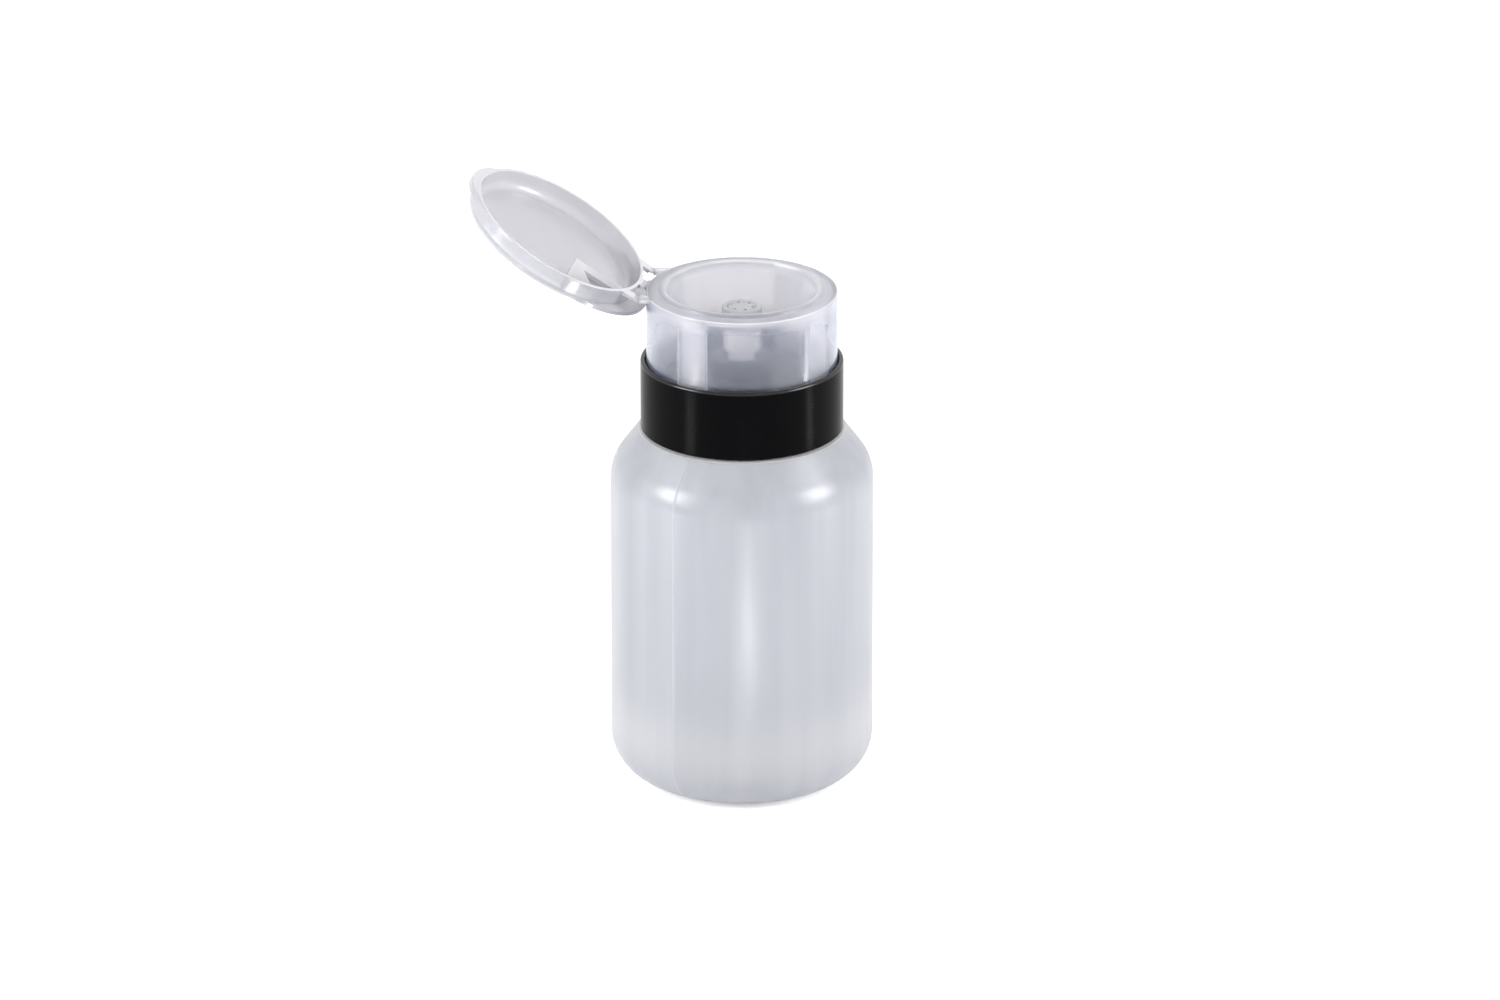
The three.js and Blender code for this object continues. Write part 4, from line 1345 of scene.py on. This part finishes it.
# %% Clear polypropylene
def milky_polypropylene(name, thin, thick, tint, least, most, through, through_thick):
    """Clear where it is thin and milky where it is thick.

    thin and thick are the haze's colours, and tint is the clear plastic's. The haze's share goes from least
    to most with the milk attribute. through and through_thick are how much light the haze itself lets on.
    """
    flow_size, skin_size, skin_depth, flow_share = 9.0, 2.5, 0.004, 0.008
    edge_power, edge_share = 4.0, 0.6
    made, tree = material(name)
    place = node(tree, "TexCoord").outputs["Object"]
    milk = node(tree, "Attribute", attribute_name="milk").outputs["Fac"]
    flow = node(tree, "TexNoise", {"Vector": place, "Scale": 1 / (flow_size * MM)})
    skin = node(tree, "TexNoise", {"Vector": place, "Scale": 1 / (skin_size * MM), "Detail": 1.0})
    bump = node(tree, "Bump", {"Height": skin, "Distance": skin_depth * MM})
    gloss = node(tree, "MapRange", [flow, *middle_range, 0.12, 0.17])
    depth = node(tree, "MapRange", [milk, 0, 0.5])
    clear = node(tree, "BsdfPrincipled", {
        "Base Color": tint,
        "Roughness": gloss,
        "Normal": bump,
        "IOR": polypropylene_ior,
        "Transmission Weight": 1.0,
    })
    haze = node(tree, "BsdfPrincipled", {
        "Base Color": node(tree, "Mix", {0: depth, 6: thin, 7: thick}, data_type="RGBA"),
        "Transmission Weight": node(tree, "MapRange", [milk, 0, 1, through, through_thick]),
        "Roughness": 0.55,
        "Normal": bump,
        "IOR": polypropylene_ior,
        "Coat Weight": 1.0,
        "Coat Roughness": gloss,
        "Coat Normal": bump,
        "Coat IOR": polypropylene_ior,
    })
    facing = node(tree, "LayerWeight", {"Blend": 0.5}).outputs["Facing"]
    edge = node(tree, "Math", [facing, edge_power], operation="POWER")
    edge = node(tree, "Math", [edge, edge_share], operation="MULTIPLY")
    waver = node(tree, "MapRange", [flow, *middle_range, -flow_share, flow_share])
    share = node(tree, "MapRange", [milk, 0, 1, least, most])
    share = node(tree, "Math", [waver, share], operation="ADD")
    share = node(tree, "Math", [share, edge], operation="ADD", use_clamp=True)
    both = node(tree, "MixShader", [share, clear, haze])
    node(tree, "OutputMaterial", {"Surface": both})
    return made


dish_clear = milky_polypropylene(
    "polypropylene_milky_dish", thin="#c2d2f7", thick="#e9eaf2", tint="#fffaf5",
    least=0.18, most=0.84, through=0.68, through_thick=0.4,
)
lid_clear = milky_polypropylene(
    "polypropylene_milky_lid", thin="#d2d3de", thick="#e8e8ed", tint="#cfcdd0",
    least=0.26, most=0.85, through=0.4, through_thick=0.14,
)

# %% [markdown]
# ### Black polypropylene, moulded
# The collar is black polypropylene. In the photograph its outside stays nearly black, with two soft sheens,
# while its deck under the clear dish and its rounded top edge shine. So the collar has the same plastic
# twice, with one number between them, the strength of its reflection. Hairline rubs from handling vary its
# roughness.

# %% Black polypropylene
def black_polypropylene(name, gloss, rub=1.2, rub_squeeze=6.0, wave=5.0, wave_depth=0.01):
    """Black, with hairline rubs round it and a slight waviness. Sizes in mm. gloss is its specular level."""
    made, tree = material(name)
    place = node(tree, "TexCoord").outputs["Object"]
    across = node(tree, "Mapping", {"Vector": place, "Scale": (1, 1, rub_squeeze)})
    rubs = node(tree, "TexNoise", {"Vector": across, "Scale": 1 / (rub * MM), "Detail": 3.0})
    waves = node(tree, "TexNoise", {"Vector": place, "Scale": 1 / (wave * MM), "Detail": 1.0})
    shader = node(tree, "BsdfPrincipled", {
        "Base Color": two_tones(tree, rubs, "#040405", "#08080a"),
        "Roughness": node(tree, "MapRange", [rubs, 0.4, 0.75, 0.17, 0.27]),
        "Normal": node(tree, "Bump", {"Height": waves, "Distance": wave_depth * MM, "Strength": 0.5}),
        "IOR": polypropylene_ior,
        "Specular IOR Level": gloss,
    })
    node(tree, "OutputMaterial", {"Surface": shader})
    return made


black = black_polypropylene("black_polypropylene_satin", gloss=0.03)
black_deck = black_polypropylene("black_polypropylene_gloss", gloss=0.5)

# %% [markdown]
# ### White polypropylene, moulded
# White mouldings let light in a little way, which softens their edges, so they get subsurface scattering.
# The stem and its head, which show through the dish, are pigmented white. The rest of the pump is the
# natural plastic, a duller white, which also keeps it visible on a white background when the pump is lifted
# out of its bottle.

# %% White polypropylene
def white_polypropylene(name, dark, light, mottle=3.0, grain=0.4, grain_depth=0.003, depth=1.2):
    """Satin white, with a faint mottle and a fine grain. Light enters it by depth. All sizes in mm."""
    made, tree = material(name)
    place = node(tree, "TexCoord").outputs["Object"]
    mottles = node(tree, "TexNoise", {"Vector": place, "Scale": 1 / (mottle * MM)})
    grains = node(tree, "TexNoise", {"Vector": place, "Scale": 1 / (grain * MM), "Detail": 1.0})
    shader = node(tree, "BsdfPrincipled", {
        "Base Color": two_tones(tree, mottles, dark, light),
        "Roughness": node(tree, "MapRange", [mottles, *middle_range, 0.3, 0.4]),
        "Normal": node(tree, "Bump", {"Height": grains, "Distance": grain_depth * MM, "Strength": 0.5}),
        "IOR": polypropylene_ior,
        "Subsurface Weight": 0.35,
        "Subsurface Radius": (1.0, 1.0, 1.0),
        "Subsurface Scale": depth * MM,
    })
    node(tree, "OutputMaterial", {"Surface": shader})
    return made


white = white_polypropylene("white_polypropylene_moulded", "#f2f2f2", "#f8f7f6")
natural_white = white_polypropylene("natural_polypropylene_moulded", "#cfd0d0", "#d6d7d6")

# %% [markdown]
# ### Tube, washer and steel
# The dip tube is cloudy polyethylene, with fine lines along it from the die that it was pushed through. The
# washer is pale rubber, matt and a little dusty. The spring and the balls are stainless steel, drawn and
# tumbled: bright, with a fine unevenness that breaks up what they mirror.

# %% Tube, washer and steel
def extruded_polyethylene(line=0.5, squeeze=0.02, line_depth=0.01):
    """Cloudy, with lines as wide as line along it. All sizes in mm."""
    made, tree = material("polyethylene_extruded")
    place = node(tree, "TexCoord").outputs["Object"]
    along = node(tree, "Mapping", {"Vector": place, "Scale": (1, 1, squeeze)})
    lines = node(tree, "TexNoise", {"Vector": along, "Scale": 1 / (line * MM)})
    shader = node(tree, "BsdfPrincipled", {
        "Base Color": two_tones(tree, lines, "#bcc0c7", "#d0d3d8"),
        "Roughness": node(tree, "MapRange", [lines, *middle_range, 0.25, 0.38]),
        "Normal": node(tree, "Bump", {"Height": lines, "Distance": line_depth * MM, "Strength": 0.5}),
        "IOR": polyethylene_ior,
        "Transmission Weight": 0.4,
    })
    node(tree, "OutputMaterial", {"Surface": shader})
    return made


def pale_rubber(dust=1.5, pit=0.3, pit_depth=0.01):
    """Matt and dusty, with a fine pitted skin. All sizes in mm."""
    made, tree = material("pale_rubber_moulded")
    place = node(tree, "TexCoord").outputs["Object"]
    dusts = node(tree, "TexNoise", {"Vector": place, "Scale": 1 / (dust * MM), "Detail": 3.0})
    pits = node(tree, "TexNoise", {"Vector": place, "Scale": 1 / (pit * MM)})
    shader = node(tree, "BsdfPrincipled", {
        "Base Color": two_tones(tree, dusts, "#cfcfca", "#dededa"),
        "Roughness": node(tree, "MapRange", [dusts, *middle_range, 0.7, 0.85]),
        "Normal": node(tree, "Bump", {"Height": pits, "Distance": pit_depth * MM, "Strength": 0.6}),
        "Specular IOR Level": 0.3,
    })
    node(tree, "OutputMaterial", {"Surface": shader})
    return made


def stainless_steel(mark=0.4):
    """Bright metal with a fine unevenness, in mm."""
    made, tree = material("stainless_steel_drawn")
    place = node(tree, "TexCoord").outputs["Object"]
    marks = node(tree, "TexNoise", {"Vector": place, "Scale": 1 / (mark * MM), "Detail": 3.0})
    shader = node(tree, "BsdfPrincipled", {
        "Base Color": two_tones(tree, marks, "#a9aeb4", "#c6cacd"),
        "Roughness": node(tree, "MapRange", [marks, *middle_range, 0.18, 0.32]),
        "Metallic": 1.0,
    })
    node(tree, "OutputMaterial", {"Surface": shader})
    return made


tube_plastic = extruded_polyethylene()
rubber = pale_rubber()
steel = stainless_steel()

# %% [markdown]
# ## Bodies and finishes
# Each piece now gets its material, stands for its imported node, and rides on the body that carries it. The
# straps of the hinge get the lid's plastic and stay fixed in their open place, on no body, and the spring
# rides on the pump with a mesh of its own.

# %% Dress every piece
dressed = [
    (bottle, "bottle", "bottle", "bottle_natural", natural),
    (collar, "collar", "screw_collar", "collar_black", black),
    (washer, "seal", "neck_gasket", "gasket_rubber", rubber),
    (housing, "pump", "pump_housing", "pump_white", natural_white),
    (cage, "pump", "ball_cage", "pump_white", natural_white),
    (bushing, "pump", "retainer_bushing", "pump_white", natural_white),
    (tube, "pump", "dip_tube", "tube_natural", tube_plastic),
    (foot_ball, "inlet_valve", "inlet_ball", "steel", steel),
    (dish, "actuator", "dish_actuator", "dish_clear", dish_clear),
    (stem, "actuator", "pump_stem", "pump_white", white),
    (piston, "actuator", "piston", "pump_white", natural_white),
    (head, "actuator", "stem_head", "pump_white", white),
    (outlet, "actuator", "outlet_cap", "outlet_clear", dish_clear),
    (head_ball, "outlet_valve", "outlet_ball", "steel", steel),
    (lid, "lid", "flip_lid", "lid_clear", lid_clear),
]
for piece, body, stands_for, slot_name, finish in dressed:
    piece.data.materials.clear()
    piece.data.materials.append(finish)
    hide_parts(stands_for)
    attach(piece, body)
print(len(dressed), "pieces dressed")

# %% Polish the collar's deck and top edge
collar.data.materials.append(black_deck)
middles = np.empty(len(collar.data.polygons) * 3, np.float32)
collar.data.polygons.foreach_get("center", middles)
middles = middles.reshape(-1, 3) / MM
deck = (np.hypot(middles[:, 0], middles[:, 1]) < cap_r + touch) & (middles[:, 2] > web_high)
top_edge = middles[:, 2] > collar_top - collar_edge
collar.data.polygons.foreach_set("material_index", (deck | top_edge).astype(np.int32))
print(deck.sum(), "faces of the deck and", top_edge.sum(), "of the top edge are glossy")

# %% Finish the straps and the spring
for piece, stands_for in zip(straps, ("hinge_film_front", "hinge_film_middle", "hinge_film_back")):
    piece.data.materials.append(lid_clear)
    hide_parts(stands_for)
    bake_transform(piece)

spring.data.materials.append(steel)
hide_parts("return_spring")
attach(spring, "pump")
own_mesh(spring)

# %% [markdown]
# ## Floor, world and camera
# The bottle was photographed on white. A nearly white floor takes its shadow, and a little glow makes that
# floor pure white beyond the shadow. Only three kinds of ray see the glow, and a world at full white: the
# camera's own, those that pass through clear plastic, and those that a gloss reflects. The world is dimmer
# for the rays that light the object, so a colour renders about as it is written.

# %% Floor
def seeing(tree):
    """One for a ray that sees the background, from the camera, through clear plastic or off a gloss, and
    zero for a ray that lights the object."""
    ray = node(tree, "LightPath").outputs
    seen = node(tree, "Math", [ray["Is Camera Ray"], ray["Is Transmission Ray"]], operation="MAXIMUM")
    return node(tree, "Math", [seen, ray["Is Glossy Ray"]], operation="MAXIMUM")


floor_half = 3000.0
floor_glow = 0.4
corners = np.array([[-1, -1, 0], [1, -1, 0], [1, 1, 0], [-1, 1, 0]], float) * floor_half
floor = solid("floor", corners, [np.array([[0, 1, 2, 3]])])
floor_paint, tree = material("white_sweep")
glow = node(tree, "Math", [seeing(tree), floor_glow], operation="MULTIPLY")
paint = node(tree, "BsdfPrincipled", {
    "Base Color": "#f4f4f5",
    "Roughness": 0.9,
    "Specular IOR Level": 0.1,
    "Emission Color": "#ffffff",
    "Emission Strength": glow,
})
node(tree, "OutputMaterial", {"Surface": paint})
floor.data.materials.append(floor_paint)
floor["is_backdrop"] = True

# %% World
world_light = 0.62
world = bpy.data.worlds.new("studio")
bpy.context.scene.world = world
world.use_nodes = True
tree = world.node_tree
tree.nodes.clear()
strength = node(tree, "MapRange", {"Value": seeing(tree), "To Min": world_light, "To Max": 1.0})
back = node(tree, "Background", {"Color": "#ffffff", "Strength": strength})
node(tree, "OutputWorld", {"Surface": back})
print(f"the world lights the object at {world_light} and shows as 1")

# %% [markdown]
# The photograph was taken with a long lens from a little above. Its angles and distance were worked out
# from the outlines of the round pieces, whose ellipses grow rounder from the top of the bottle to its foot.

# %% Camera
view_azimuth = math.radians(11.0)
view_elevation = math.radians(21.616)
view_distance = 2677.8
focal_length = 259.5
film_width = 36.0
aim_height = 60.0
aim_right = 1.98
aim_up = 10.7
farthest = 50.0

back_way = np.array([
    math.sin(view_azimuth) * math.cos(view_elevation),
    -math.cos(view_azimuth) * math.cos(view_elevation),
    math.sin(view_elevation),
])
right_way = np.array([math.cos(view_azimuth), math.sin(view_azimuth), 0])
up_way = np.cross(back_way, right_way)
aim = np.array([0, 0, aim_height]) + aim_right * right_way + aim_up * up_way
lens = bpy.data.cameras.new("camera")
lens.lens = focal_length
lens.sensor_width = film_width
lens.clip_end = farthest
camera = bpy.data.objects.new("camera", lens)
bpy.context.scene.collection.objects.link(camera)
camera.location = (aim + back_way * view_distance) * MM
camera.rotation_euler = (math.pi / 2 - view_elevation, 0, view_azimuth)
bpy.context.scene.camera = camera
print(f"a {focal_length} mm lens at {view_distance / 1000:.2f} m")

# %% [markdown]
# ## Lights
# A soft box stands on either side, a little in front of the bottle, and gives the shoulder its two
# highlights. A small lamp would leave hard spots on the plastic instead.

# %% Soft boxes
def area_lamp(name, width, height, power, place, turn):
    """A rectangular lamp that shines along its own -Z. Sizes and place in millimetres."""
    lamp = bpy.data.lights.new(name, "AREA")
    lamp.shape = "RECTANGLE"
    lamp.size = width * MM
    lamp.size_y = height * MM
    lamp.energy = power
    holder = bpy.data.objects.new(name, lamp)
    bpy.context.scene.collection.objects.link(holder)
    holder.location = place * MM
    holder.rotation_euler = turn
    print(f"{name}: {width:.0f} x {height:.0f} mm, {power} W")


box_distance = 560
box_middle = 310
box_width = 260
box_height = 250
box_aim = 80.0
box_tilt = math.atan2(box_middle - box_aim, box_distance)


def softbox(name, azimuth, power):
    """A lamp beside the dispenser that faces a point of its axis. Azimuth is counted from the camera's,
    positive to the right."""
    turn = view_azimuth + math.radians(azimuth)
    place = np.array([math.sin(turn) * box_distance, -math.cos(turn) * box_distance, box_middle])
    area_lamp(name, box_width, box_height, power, place, (math.pi / 2 - box_tilt, 0, turn))


softbox("softbox_left", azimuth=-66, power=2.9)
softbox("softbox_right", azimuth=72, power=2.7)

# %% [markdown]
# The photograph also has a soft upright streak on the bottle and two sheens on the collar. An upright wall
# seen from above mirrors what lies on the table, not what stands beside it, so three weak strips lie there
# and shine up. A strip's place along a line out of the axis decides at which height it shows, so each one
# starts and ends where its sheen should, and leaves no line on the piece above or below.

# %% Strips on the table
strip_rise = 0.5


def floor_strip(name, azimuth, near, far, width, power):
    """A lamp on the table from near to far along a line out of the axis. With s the tangent of the camera's
    elevation, it shows in an upright wall of radius r from z = (near - r) s to z = (far - r) s."""
    turn = view_azimuth + math.radians(azimuth)
    middle = (near + far) / 2
    place = np.array([math.sin(turn) * middle, -math.cos(turn) * middle, strip_rise])
    area_lamp(name, width, far - near, power, place, (math.pi, 0, turn))


sheen_stop = 1.0
slope = math.tan(view_elevation)
sheen_near = collar_r + collar_bottom / slope
sheen_far = collar_r + (collar_top - sheen_stop) / slope
floor_strip("strip_bottle", azimuth=5, near=117, far=191, width=24, power=0.09)
floor_strip("strip_collar_left", azimuth=-58, near=sheen_near, far=sheen_far, width=50, power=0.12)
floor_strip("strip_collar_right", azimuth=80, near=sheen_near, far=sheen_far, width=36, power=0.08)

# %% Hand over
bpy.context.scene.view_settings.view_transform = "Standard"
width, depth, height = np.ptp(np.array(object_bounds()), axis=0) / MM
print(f"the finished model is {width:.1f} x {depth:.1f} x {height:.1f} mm")
